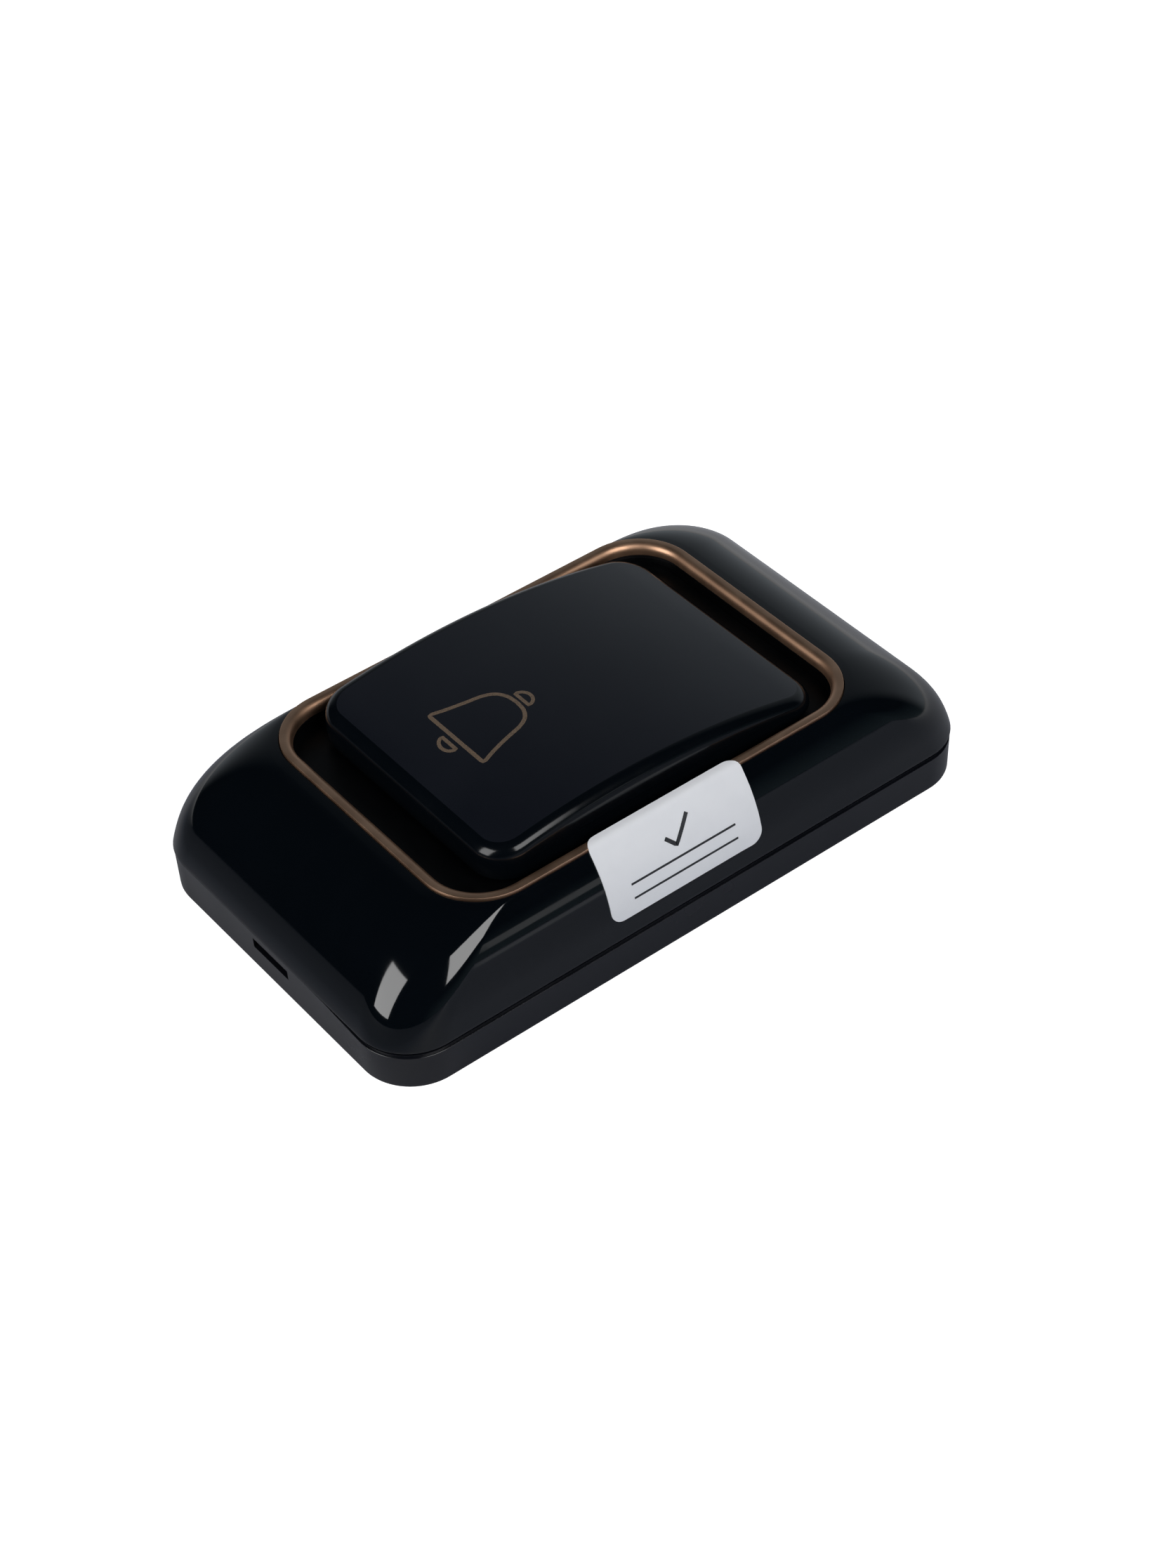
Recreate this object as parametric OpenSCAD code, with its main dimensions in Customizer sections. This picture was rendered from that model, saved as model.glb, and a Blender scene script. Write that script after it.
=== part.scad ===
/* [Body] */
// Length of the body at the joint line
body_l = 86; // [83:1:92]
// Width of the body at the joint line
body_w = 50; // [45:1:55]
// Height of the joint line above the wall
seam_z = 5.5; // [5.2:0.1:6]
// Plan corner radius at the joint line
corner_r = 7; // [6.5:0.5:8.5]
// Wall of the front cover
cover_wall = 1.6; // [1.3:0.1:1.9]
// Height where the long sides begin to curve in
side_curve_z = 8.2; // [7.6:0.1:9]
// Draft of the long sides below that height
side_draft = 0.2; // [0.1:0.1:0.3]
// Height of the centre of the end arcs
end_arc_z = 2.4; // [1.8:0.1:2.8]
// Height where the cover meets the trim ring
crown_z = 17; // [16.6:0.1:18]

/* [Trim ring] */
// Distance from the long side of the body in to the ring centreline
ring_side = 4.9; // [4.5:0.1:5.4]
// Length along the ring centreline
ring_l = 57.6; // [56:0.2:60]
// Corner radius of the ring centreline
ring_r = 7; // [6:0.5:8]
// Width of the bead
ring_bead = 1.5; // [1.2:0.1:1.7]
// Height of the bead above the cover
ring_proud = 0.35; // [0.2:0.05:0.6]
// Depth of the ring's leg below the ledge
ring_leg = 0.3; // [0.2:0.05:0.8]

/* [Button] */
// Distance from the ring centreline in to the long side of the button
cap_side = 2.1; // [1.6:0.1:3]
// Length of the button
cap_l = 48.2; // [47.6:0.2:51]
// Shift of the button from the middle of the body towards the hinge
cap_shift = 0.8; // [0:0.1:1.2]
// Height of the button crest above the cover
cap_rise = 4.2; // [3.8:0.1:5]
// Place of the crest along the button
crest_y = -4.5; // [-7:0.5:-3]
// Radius of the lengthwise arch
arch_r = 100; // [95:5:140]
// Plan corner radius of the button
cap_r = 4.4; // [3.8:0.1:6]
// Radius of the rolled top edge
cap_edge_r = 1.5; // [1:0.1:1.8]
// Wall of the button
cap_wall = 1.6; // [1.2:0.1:1.8]
// Full press of the button in degrees
press_deg = 1.2; // [0.8:0.1:1.2]

/* [Hinge and stops] */
// Place of the hinge axis along the body
hinge_y = 20.5; // [20:0.1:21]
// Trunnion diameter
trunnion_d = 1.5; // [1.3:0.1:1.6]
// Radial clearance of the trunnions
trunnion_gap = 0.05; // [0.03:0.01:0.1]
// Distance from the long side of the button in to a hinge ear
ear_side = 6; // [5.6:0.1:6.5]
// Thickness of a hinge ear
ear_t = 2; // [1.6:0.1:2.4]
// Place of the stop hooks along the body
hook_y = -20.5; // [-21:0.1:-20]
// Distance from the long side of the button in to the middle of a stop hook
hook_side = 7; // [6.5:0.1:7.2]

/* [Button well] */
// Depth of the well floor under the cover ledge
well_drop = 0.6; // [0.4:0.1:0.8]
// Thickness of the well floor
well_t = 1.5; // [1.2:0.1:1.8]

/* [Base plate] */
// Thickness of the base floor
floor_t = 1.8; // [1.4:0.1:1.8]
// Step of the base inside the cover edge
base_step = 0.1; // [0.05:0.05:0.4]
// Draft of the base wall over its height
base_draft = 0.1; // [0.05:0.05:0.4]
// Open joint between base and cover
seam_gap = 0.55; // [0.3:0.05:0.6]
// Thickness of the locating lip
lip_t = 1; // [0.8:0.1:1.2]
// Height of the locating lip above the joint line
lip_h = 2; // [1.5:0.1:2.2]
// Clearance between the lip and the cover
lip_gap = 0.3; // [0.25:0.05:0.4]
// Distance between the two wall screw holes
screw_pitch = 54; // [52:1:58]
// Diameter of the wall screw holes
screw_hole_d = 4.4; // [3.6:0.1:5]
// Width of the prising slot
pry_w = 7; // [5:0.2:9]
// Height of the prising slot
pry_h = 1.4; // [0.8:0.1:1.5]
// Height of the lower edge of the prising slot above the wall
pry_z = 3.1; // [2.6:0.1:3.2]

/* [Circuit board] */
// Gap between the circuit board and the locating lip
board_gap = 1.6; // [1:0.1:2.4]
// Length of the circuit board
board_l = 47.5; // [46.5:0.5:48]
// Thickness of the circuit board
board_t = 1.6; // [1:0.2:1.6]
// Height of the upper face of the board
board_z = 7.2; // [7:0.1:7.4]
// Travel of the switch plunger
plunger_travel = 0.35; // [0.25:0.05:0.35]
// Height of the switch over the board
switch_h = 5; // [4.6:0.1:5]

/* [Battery] */
// Diameter of the battery
cell_d = 10.3; // [9.6:0.1:11.5]
// Length of the battery with its button
cell_l = 28.5; // [27.5:0.1:29]
// Gap between the battery and the locating lip
cell_gap = 1.1; // [0.6:0.1:1.4]

/* [Sticker] */
// Length of the paper sticker
sticker_l = 22; // [16:0.1:26]
// Height of the paper sticker below the trim ring, along the curve
sticker_h = 9.7; // [6:0.1:10]
// Place of the sticker middle along the body
sticker_y = -1.7; // [-6:0.1:6]

/* [Hidden] */

// Fineness: true circles above 12, and the steps of the moulded surfaces
$fn = 48;
arc_n = 9;
outer_n = 10;
inner_n = 5;
edge_n = 4;
row_n = 16;
eps = 0.2;

// Clearances by use
fit = 0.1;
seat = 0.05;
slip = 0.25;
stop_gap = 0.15;

// Ring and cover crown
ring_w = body_w - 2 * ring_side;
ring_a = ring_w / 2;
ring_b = ring_l / 2;
bead = ring_bead / 2;
leg_t = 0.7;
crown_off = bead + fit;
crown_a = ring_a + crown_off;
crown_b = ring_b + crown_off;
crown_r = ring_r + crown_off;
ring_z = crown_z + ring_proud;
ledge_drop = 0.8;
ledge_t = 1.4;
ledge_z = crown_z - ledge_drop;
inner_z = ledge_z - ledge_t;
open_off = leg_t - bead + fit;

// Long side: a straight draft, then an arc that runs on from it and ends at the crown
half_w = body_w / 2;
half_l = body_l / 2;
side_x0 = half_w - side_draft;
side_d = side_x0 - crown_a;
side_up = crown_z - side_curve_z;
side_lean = atan(side_draft / (side_curve_z - seam_z));
side_r = (side_d * side_d + side_up * side_up)
         / (2 * (side_d * cos(side_lean) - side_up * sin(side_lean)));
side_xc = side_x0 - side_r * cos(side_lean);
side_zc = side_curve_z - side_r * sin(side_lean);

// End: one arc from the joint line to the crown
end_lo = seam_z - end_arc_z;
end_hi = crown_z - end_arc_z;
end_yc = (half_l * half_l - crown_b * crown_b + end_lo * end_lo - end_hi * end_hi)
         / (2 * (half_l - crown_b));
end_r = norm([half_l - end_yc, end_lo]);
end_t0 = asin(end_lo / end_r);
end_t1 = asin(end_hi / end_r);

// Half width, half length and corner radius of the cover at a height, moved in by off
function side_x(z, off) = z < side_curve_z
    ? half_w - side_draft * (z - seam_z) / (side_curve_z - seam_z) - off
    : side_xc + sqrt(pow(side_r - off, 2) - pow(z - side_zc, 2));
function end_y(z, off) = end_yc + sqrt(pow(end_r - off, 2) - pow(z - end_arc_z, 2));
function plan_r(z, off) = corner_r + (crown_r - corner_r) * (z - seam_z) / (crown_z - seam_z) - off;
function cover_level(z, off) = [side_x(z, off), end_y(z, off), plan_r(z, off), z];

// Button well
well_a = side_x(inner_z, cover_wall) - slip;
well_b = end_y(inner_z, cover_wall) - slip;
well_r = plan_r(inner_z, cover_wall) - slip;
well_z = inner_z - well_drop;
well_bot = well_z - well_t;
stake_d = 2;
stake_head_d = 3.4;
stake_head_h = 0.8;
stake_x = ring_a - 7;
stake_y = well_b - 2.2;

// Button
cap_w = ring_w - 2 * cap_side;
ear_span = cap_w - 2 * ear_side;
hook_span = cap_w - 2 * hook_side;
cap_a = cap_w / 2;
cap_b = cap_l / 2;
cap_z = crown_z + cap_rise;
hinge_z = well_z + 0.7;
ear_r = 1.3;
lug_t = 1.9;
lug_gap = 0.3;
lug_r = 1.2;
press_y = -10;
press_drop = (hinge_y - press_y) * sin(press_deg);
cap_low = well_z + (hinge_y + cap_b - cap_shift) * sin(press_deg) + slip;
post_d = 4;
hook_t = 1.2;
hook_w = 3;
hook_barb = 0.8;
hook_drop = 1.25;
hook_top = well_bot - stop_gap;

// Switch, with the free travel that the press leaves over
plunger_z = board_z + switch_h;
free_gap = press_drop - plunger_travel + seat;
post_z = plunger_z + free_gap;
switch_a = 3;
housing_h = 3.2;
housing_r = 0.5;
stem_d = 3.5;
flange_d = 4.6;
flange_h = 0.6;
bore_h = 1;
chamber_h = 1.2;
plate_t = 0.25;
rivet_d = 0.9;
rivet_h = 0.45;

// Base plate
lip_z = seam_z + lip_h;
lip_a = side_x(lip_z, cover_wall) - lip_gap;
lip_b = end_y(lip_z, cover_wall) - lip_gap;
lip_r = plan_r(lip_z, cover_wall) - lip_gap;
lip_in = lip_a - lip_t;
base_top = seam_z - seam_gap;
base_a = half_w - base_step;
base_b = half_l - base_step;
base_r = corner_r - base_step;
foot_h = 0.2;
foot_in = 0.1;
snap_l = 6;
snap_r = 0.5;
snap_in = 0.2;
snap_y = 18;
snap_z = seam_z + lip_h / 2;
pad_d = 9;
pad_h = 0.8;

// Battery beside the lip and under the well, then the board beside the battery
cell_top_gap = 0.3;
trough_gap = 0.45;
cell_x = cell_gap + cell_d / 2 - lip_in;
cell_z = well_bot - cell_top_gap - cell_d / 2;
bay_wall = 0.8;
board_x0 = cell_x + cell_d / 2 + slip + bay_wall + slip;
board_x1 = lip_in - board_gap;
board_w = board_x1 - board_x0;
board_y0 = -25.5;
board_lo = board_z - board_t;
board_r = 1;
post_in = 4;
board_posts = [for (x = [board_x0 + post_in, board_x0 + board_w - post_in],
                    y = [board_y0 + post_in, board_y0 + board_l - post_in]) [x, y]];
board_post_d = 4.4;
pilot_d = 1.6;
pilot_h = 4.4;
board_hole_d = 2.4;
screw_head_d = 3.8;
screw_head_h = 1.3;

// Battery contacts
contact_t = 0.3;
contact_w = 6;
contact_depth = 1.15;
bay_end = cell_l / 2 + contact_depth;
bay_end_t = 1.2;
bay_low = floor_t + 2;

// Rounded rectangle outline, exact in the plane
module rounded(a, b, r) {
    square([2 * a, 2 * (b - r)], center = true);
    square([2 * (a - r), 2 * b], center = true);
    for (x = [-1, 1], y = [-1, 1]) {
        translate([x * (a - r), y * (b - r)]) circle(r);
    }
}

// Rounded block between two heights
module rounded_block(a, b, r, z0, z1) {
    translate([0, 0, z0]) linear_extrude(z1 - z0) rounded(a, b, r);
}

// Rounded block whose walls lean in by lean at the bottom
module leaning_block(a, b, r, z0, z1, lean) {
    h = z1 - z0;
    translate([0, b - r, z0]) rotate([90, 0, 0]) linear_extrude(2 * (b - r))
        polygon([[lean - a, 0], [a - lean, 0], [a, h], [-a, h]]);
    translate([r - a, 0, z0]) rotate([90, 0, 90]) linear_extrude(2 * (a - r))
        polygon([[lean - b, 0], [b - lean, 0], [b, h], [-b, h]]);
    for (x = [-1, 1], y = [-1, 1]) {
        translate([x * (a - r), y * (b - r), z0]) cylinder(h, r - lean, r);
    }
}

// One ring of points round a rounded rectangle
function ring_pts(v) = [
    for (k = [0:3], i = [0:arc_n])
        let (t = 90 * (k + i / arc_n),
             sx = (k == 0 || k == 3) ? 1 : -1,
             sy = (k < 2) ? 1 : -1)
        [sx * (v[0] - v[2]) + v[2] * cos(t), sy * (v[1] - v[2]) + v[2] * sin(t), v[3]]
];

// Skin through rings of points; the last ring joins the first, so the form is a closed band
module band(rings) {
    n = len(rings[0]);
    m = len(rings);
    pts = [for (ring = rings) each ring];
    faces = [for (j = [0:m - 1], i = [0:n - 1])
        let (p = j * n, q = ((j + 1) % m) * n, k = (i + 1) % n)
        each [[p + i, q + i, q + k], [p + i, q + k, p + k]]];
    polyhedron(pts, faces);
}

// Strip of constant thickness along a path, as an outline
function unit(v) = v / norm(v);
function side_of(p, i, s) =
    let (a = unit(p[min(i + 1, len(p) - 1)] - p[min(i, len(p) - 2)]),
         b = unit(p[max(i, 1)] - p[max(i - 1, 0)]),
         n = unit([-(a[1] + b[1]), a[0] + b[0]]))
    p[i] + s * n / (n * [-a[1], a[0]]);
module strip(p, t) {
    polygon([for (i = [0:len(p) - 1]) side_of(p, i, t / 2),
             for (i = [len(p) - 1:-1:0]) side_of(p, i, -t / 2)]);
}

// Front cover

cover_rings = [
    for (k = [0:outer_n - 1])
        let (z = end_arc_z + end_r * sin(end_t0 + (end_t1 - end_t0) * k / outer_n))
        cover_level(z, 0),
    [crown_a, crown_b, crown_r, crown_z],
    [crown_a, crown_b, crown_r, ledge_z],
    [ring_a + open_off, ring_b + open_off, ring_r + open_off, ledge_z],
    [ring_a + open_off, ring_b + open_off, ring_r + open_off, inner_z],
    for (k = [0:inner_n])
        cover_level(inner_z + (seam_z - inner_z) * k / inner_n, cover_wall)
];

module front_cover() {
    color("#080c14") {
        band([for (v = cover_rings) ring_pts(v)]);
        cover_stakes();
        snap_beads();
    }
}

// Four pins of the cover, melted over to hold the well
module cover_stakes() {
    for (x = [-1, 1], y = [-1, 1]) {
        translate([x * stake_x, y * stake_y, 0]) rotate_extrude()
            polygon([[0, inner_z + eps], [stake_d / 2, inner_z + eps], [stake_d / 2, well_bot],
                     [stake_head_d / 2, well_bot], [stake_head_d / 2 - stake_head_h / 2,
                     well_bot - stake_head_h], [0, well_bot - stake_head_h]]);
    }
}

// Four beads inside the long sides that face the windows of the base lip
module snap_beads() {
    for (x = [-1, 1], y = [-1, 1]) {
        translate([x * (side_x(snap_z, cover_wall) + snap_r - snap_in), y * snap_y, snap_z])
            rotate([90, 0, 0]) cylinder(snap_l, r = snap_r, center = true);
    }
}

// Trim ring

ring_profile = [
    [bead, ledge_z], [bead, ring_z - bead * 0.4], [bead * 0.93, ring_z - bead * 0.12],
    [bead * 0.78, ring_z - bead * 0.02], [bead * 0.25, ring_z], [-bead * 0.25, ring_z - bead * 0.07],
    [-bead * 0.62, ring_z - bead * 0.3], [-bead * 0.88, ring_z - bead * 0.7],
    [-bead * 0.97, ring_z - bead * 1.1],
    [-bead, ledge_z - ring_leg], [leg_t - bead, ledge_z - ring_leg], [leg_t - bead, ledge_z]
];

module trim_ring() {
    color("#b5795c")
        band([for (p = ring_profile) ring_pts([ring_a + p[0], ring_b + p[0], ring_r + p[0], p[1]])]);
}

// Button well

module button_well() {
    color("#0a0d13") difference() {
        union() {
            difference() {
                rounded_block(well_a, well_b, well_r, well_bot, inner_z);
                rounded_block(ring_a - bead, ring_b - bead, ring_r - bead, well_z, inner_z + eps);
                well_openings();
            }
            hinge_ears();
            board_pillars();
            battery_bay();
            well_ribs();
        }
        for (p = board_posts) {
            translate([p[0], p[1], board_z - eps]) cylinder(pilot_h + eps, d = pilot_d);
        }
        hinge_bores();
    }
}

// Holes for the press post, the hinge lugs, the stop hooks and the melted pins
module well_openings() {
    h = well_t + 2 * eps;
    z = well_bot - eps;
    translate([0, press_y, z]) cylinder(h, d = post_d + 8 * slip);
    for (x = [-1, 1]) {
        translate([x * lug_x() - lug_t / 2 - lug_gap, hinge_y - lug_r - lug_gap, z])
            cube([lug_t + 2 * lug_gap - fit, 2 * (lug_r + lug_gap), h]);
        translate([x * hook_span / 2 - hook_w / 2 - lug_gap, hook_y - hook_t / 2 - lug_gap, z])
            cube([hook_w + 2 * lug_gap, hook_t + 2 * lug_gap, h]);
        for (y = [-1, 1]) {
            translate([x * stake_x, y * stake_y, z]) cylinder(h + well_drop, d = stake_d + fit);
        }
    }
}

// Middle of a hinge lug across the body
function lug_x() = ear_span / 2 - lug_gap - lug_t / 2;

module hinge_ears() {
    for (x = [-1, 1]) {
        translate([x * (ear_span + ear_t) / 2, hinge_y, 0]) {
            translate([-ear_t / 2, -ear_r, well_z - eps]) cube([ear_t, 2 * ear_r, hinge_z - well_z + eps]);
            translate([0, 0, hinge_z]) rotate([0, 90, 0]) cylinder(ear_t, r = ear_r, center = true);
        }
    }
}

// Bores of both ears, run in to the lug openings
module hinge_bores() {
    for (x = [-1, 1]) {
        translate([x * lug_x(), hinge_y, hinge_z]) rotate([0, 90 * x, 0])
            cylinder(lug_t / 2 + lug_gap + ear_t + 2 * eps, d = trunnion_d + 2 * trunnion_gap);
    }
}

// Pillars for the board screws, with a ring of foot gussets
module board_pillars() {
    for (p = board_posts) {
        translate([p[0], p[1], board_z]) cylinder(well_bot - board_z + eps, d = board_post_d);
        translate([p[0], p[1], well_bot - 1]) cylinder(1 + eps, board_post_d / 2, board_post_d / 2 + 0.6);
    }
}

// Walls that hold the battery and its two contacts
module battery_bay() {
    for (y = [-1, 1]) {
        translate([cell_x - contact_w / 2 - 1.5, y > 0 ? bay_end : -bay_end - bay_end_t, bay_low])
            cube([contact_w + 3, bay_end_t, well_bot - bay_low + eps]);
    }
    translate([cell_x + cell_d / 2 + slip, -cell_l / 3, board_lo])
        cube([bay_wall, cell_l * 2 / 3, well_bot - board_lo + eps]);
}

// Stiffening ribs under both ends of the well
module well_ribs() {
    rib_t = 1;
    rib_h = 2;
    rib_a = stake_x - stake_head_d;
    for (y = [-1, 1]) {
        translate([-rib_a, y * (ring_b - 2) - rib_t / 2, well_bot - rib_h])
            cube([2 * rib_a, rib_t, rib_h + eps]);
    }
}

// Button cap

function crest(y) = cap_z - arch_r + sqrt(arch_r * arch_r - pow(y - crest_y, 2));

// Right half of the button outline moved in by s, from the near end to the far end
function half_pts(s) =
    let (a = cap_a - s, b = cap_b - s, r = max(cap_r - s, 0.4))
    [for (i = [0:arc_n]) let (t = 90 * i / arc_n - 90) [a - r + r * cos(t), cap_shift + r - b + r * sin(t)],
     for (i = [1:row_n - 1]) [a, cap_shift + (b - r) * (2 * i / row_n - 1)],
     for (i = [0:arc_n]) let (t = 90 * i / arc_n) [a - r + r * cos(t), cap_shift + b - r + r * sin(t)]];
function cap_ring(s, drop) =
    let (h = half_pts(s), m = len(h))
    [for (i = [0:m - 1]) [h[i][0], h[i][1], crest(h[i][1]) - drop],
     for (i = [m - 1:-1:0]) [-h[i][0], h[i][1], crest(h[i][1]) - drop]];
function flat_ring(s, z) = [for (p = cap_ring(s, 0)) [p[0], p[1], z]];

cap_rings = [
    flat_ring(cap_wall, cap_low),
    flat_ring(0, cap_low),
    for (i = [0:edge_n])
        let (t = 90 * i / edge_n)
        cap_ring(cap_edge_r * (1 - cos(t)), cap_edge_r * (1 - sin(t)))
];
cap_inner = cap_ring(cap_wall, cap_wall);

// Shell of the button: rings from the inner roof out over the rolled edge to the top
module cap_shell() {
    rings = concat([cap_inner], cap_rings);
    n = len(cap_inner);
    m = len(rings);
    last = (m - 1) * n;
    pts = [for (ring = rings) each ring];
    walls = [for (j = [0:m - 2], i = [0:n - 1])
        let (p = j * n, q = p + n, k = (i + 1) % n)
        each [[p + i, q + i, q + k], [p + i, q + k, p + k]]];
    top = [for (i = [0:n / 2 - 2]) let (k = n - 1 - i)
        each [[last + i, last + k, last + k - 1], [last + i, last + k - 1, last + i + 1]]];
    roof = [for (i = [0:n / 2 - 2]) let (k = n - 1 - i)
        each [[i, k - 1, k], [i, i + 1, k - 1]]];
    polyhedron(pts, concat(walls, top, roof));
}

module button_cap() {
    color("#11141c") {
        cap_shell();
        translate([0, press_y, post_z]) cylinder(crest(press_y) - cap_wall + eps - post_z, d = post_d);
        cap_ribs();
        hinge_lugs();
        stop_hooks();
    }
}

// Two ribs under the roof that follow the arch
module cap_ribs() {
    rib_t = 1;
    rib_x = 6;
    y0 = hook_y + 4;
    y1 = hinge_y - 5;
    for (x = [-1, 1]) {
        translate([x * rib_x - rib_t / 2, 0, 0]) rotate([90, 0, 90]) linear_extrude(rib_t)
            polygon([[y0, cap_low + 1], [y1, cap_low + 0.4],
                     for (i = [8:-1:0]) let (y = y0 + (y1 - y0) * i / 8) [y, crest(y) - cap_wall + eps]]);
    }
}

module hinge_lugs() {
    roof = crest(hinge_y - lug_r) - cap_wall;
    for (x = [-1, 1]) {
        translate([x * lug_x(), hinge_y, 0]) {
            translate([-lug_t / 2, -lug_r, hinge_z]) cube([lug_t, 2 * lug_r, roof + eps - hinge_z]);
            translate([0, 0, hinge_z]) rotate([0, 90, 0]) cylinder(lug_t, r = lug_r, center = true);
            translate([0, 0, hinge_z]) rotate([0, 90 * x, 0])
                cylinder(lug_t / 2 + lug_gap + ear_t + fit, d = trunnion_d);
        }
    }
}

// Legs whose barbs stop the button under the well floor
module stop_hooks() {
    roof = crest(hook_y) - cap_wall;
    low = hook_top - hook_drop;
    y0 = -hook_t / 2;
    for (x = [-1, 1]) {
        translate([x * hook_span / 2 - hook_w / 2, hook_y, 0]) rotate([90, 0, 90]) linear_extrude(hook_w)
            polygon([[-y0, low], [-y0, roof + eps], [y0, roof + eps], [y0, hook_top],
                     [y0 - hook_barb, hook_top], [y0 - hook_barb, hook_top - 0.35], [y0, low]]);
    }
}

// Base plate

module base_plate() {
    color("#14181d") difference() {
        union() {
            difference() {
                union() {
                    leaning_block(base_a, base_b, base_r, foot_h, base_top, base_draft);
                    leaning_block(base_a - base_draft, base_b - base_draft, base_r - base_draft,
                                  0, foot_h, foot_in);
                    rounded_block(lip_a, lip_b, lip_r, base_top - eps, lip_z);
                }
                rounded_block(lip_a - lip_t, lip_b - lip_t, lip_r - lip_t, floor_t, lip_z + eps);
                cell_trough();
            }
            for (y = [-1, 1]) {
                translate([0, y * screw_pitch / 2, floor_t - eps]) cylinder(pad_h + eps, d = pad_d);
            }
            base_ribs();
            cell_cradles();
        }
        for (y = [-1, 1]) {
            translate([0, y * screw_pitch / 2, -eps]) cylinder(floor_t + pad_h + 2 * eps, d = screw_hole_d);
        }
        lip_windows();
        pry_slot();
    }
}

// Windows in the lip that take the beads of the cover
module lip_windows() {
    w = snap_l + 2;
    for (x = [-1, 1], y = [-1, 1]) {
        translate([x * (lip_a - lip_t / 2), y * snap_y, snap_z])
            cube([lip_t + 2 * eps, w, 2 * (snap_r + fit)], center = true);
    }
}

// Slot through the near end wall for a screwdriver blade
module pry_slot() {
    translate([-pry_w / 2, -base_b - eps, pry_z]) cube([pry_w, base_b - lip_b + lip_t + 2 * eps, pry_h]);
}

// Two long ribs that stiffen the floor
module base_ribs() {
    rib_x = 9;
    rib_t = 1.2;
    rib_h = 1.2;
    rib_l = screw_pitch - pad_d - 2;
    for (x = [-1, 1]) {
        translate([x * rib_x - rib_t / 2, -rib_l / 2, floor_t - eps]) cube([rib_t, rib_l, rib_h + eps]);
    }
}

// Shallow trough in the floor under the battery
module cell_trough() {
    translate([cell_x, 0, cell_z]) rotate([90, 0, 0])
        cylinder(cell_l + 2 * contact_depth, d = cell_d + 2 * trough_gap, center = true);
}

// Two saddles under the battery
module cell_cradles() {
    saddle_t = 1.6;
    saddle_h = 1.6;
    for (y = [-1, 1]) {
        difference() {
            translate([cell_x - cell_d / 2, y * cell_l / 4 - saddle_t / 2, floor_t - eps])
                cube([cell_d, saddle_t, saddle_h + eps]);
            translate([cell_x, y * cell_l / 4, cell_z]) rotate([90, 0, 0])
                cylinder(saddle_t + 2 * eps, d = cell_d + 2 * slip, center = true);
        }
    }
}

// Circuit board and the parts on it

module circuit_board() {
    color("#1f6b3a") difference() {
        translate([board_x0 + board_w / 2, board_y0 + board_l / 2, 0])
            rounded_block(board_w / 2, board_l / 2, board_r, board_lo, board_z);
        for (p = board_posts) {
            translate([p[0], p[1], board_lo - eps]) cylinder(board_t + 2 * eps, d = board_hole_d);
        }
        for (p = leg_places) {
            translate([p[0], p[1], board_lo - eps]) cylinder(board_t + 2 * eps, d = leg_hole_d);
        }
    }
}

// Copper loop near the edge of the board, open at one place
trace_t = 0.07;
trace_in = 0.8;
trace_w = 0.8;
trace_open = 9;
module antenna_trace() {
    color("#b87333") translate([board_x0 + board_w / 2, board_y0 + board_l / 2, board_z])
        linear_extrude(trace_t) difference() {
            rounded(board_w / 2 - trace_in, board_l / 2 - trace_in, board_r);
            rounded(board_w / 2 - trace_in - trace_w, board_l / 2 - trace_in - trace_w, board_r / 2);
            translate([-board_w / 2, -trace_open / 2]) square([board_w / 4, trace_open]);
        }
}

// Moulded body of the tactile switch, with the bore and chamber of its plunger
module switch_housing() {
    color("#1b1c1f") translate([0, press_y, board_z]) difference() {
        rounded_block(switch_a, switch_a, housing_r, 0, housing_h);
        translate([0, 0, housing_h - bore_h]) cylinder(bore_h + eps, d = stem_d + 2 * fit);
        translate([0, 0, housing_h - bore_h - chamber_h]) cylinder(chamber_h, d = flange_d + 2 * fit);
    }
}

module switch_plate() {
    pin = switch_a - rivet_d;
    color("silver") translate([0, press_y, board_z + housing_h]) {
        difference() {
            rounded_block(switch_a, switch_a, housing_r, 0, plate_t);
            translate([0, 0, -eps]) cylinder(plate_t + 2 * eps, d = stem_d + 4 * fit);
        }
        for (x = [-1, 1], y = [-1, 1]) {
            translate([x * pin, y * pin, 0]) cylinder(rivet_h, d = rivet_d);
        }
    }
}

module switch_plunger() {
    low = board_z + housing_h - bore_h - fit - flange_h;
    edge = stem_d * 0.06;
    color("#0e0e10") translate([0, press_y, 0]) rotate_extrude()
        polygon([[0, low], [flange_d / 2, low], [flange_d / 2, low + flange_h],
                 [stem_d / 2, low + flange_h], [stem_d / 2, plunger_z - edge],
                 [stem_d / 2 - edge, plunger_z], [0, plunger_z]]);
}

// Four legs of the switch, bent down past its sides and through the board
sw_leg_t = 0.3;
sw_leg_w = 0.7;
sw_leg_up = 1.2;
sw_leg_out = 0.9;
leg_hole_d = 1.1;
leg_x = switch_a + sw_leg_t / 2 + fit;
leg_y = switch_a * 0.75;
leg_places = [for (x = [-1, 1], y = [-1, 1]) [x * leg_x, press_y + y * leg_y]];
module switch_legs() {
    color("silver") for (p = leg_places) {
        translate([p[0] - sw_leg_t / 2, p[1] - sw_leg_w / 2, board_lo - sw_leg_out])
            cube([sw_leg_t, sw_leg_w, sw_leg_out + board_t + sw_leg_up]);
    }
}

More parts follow.
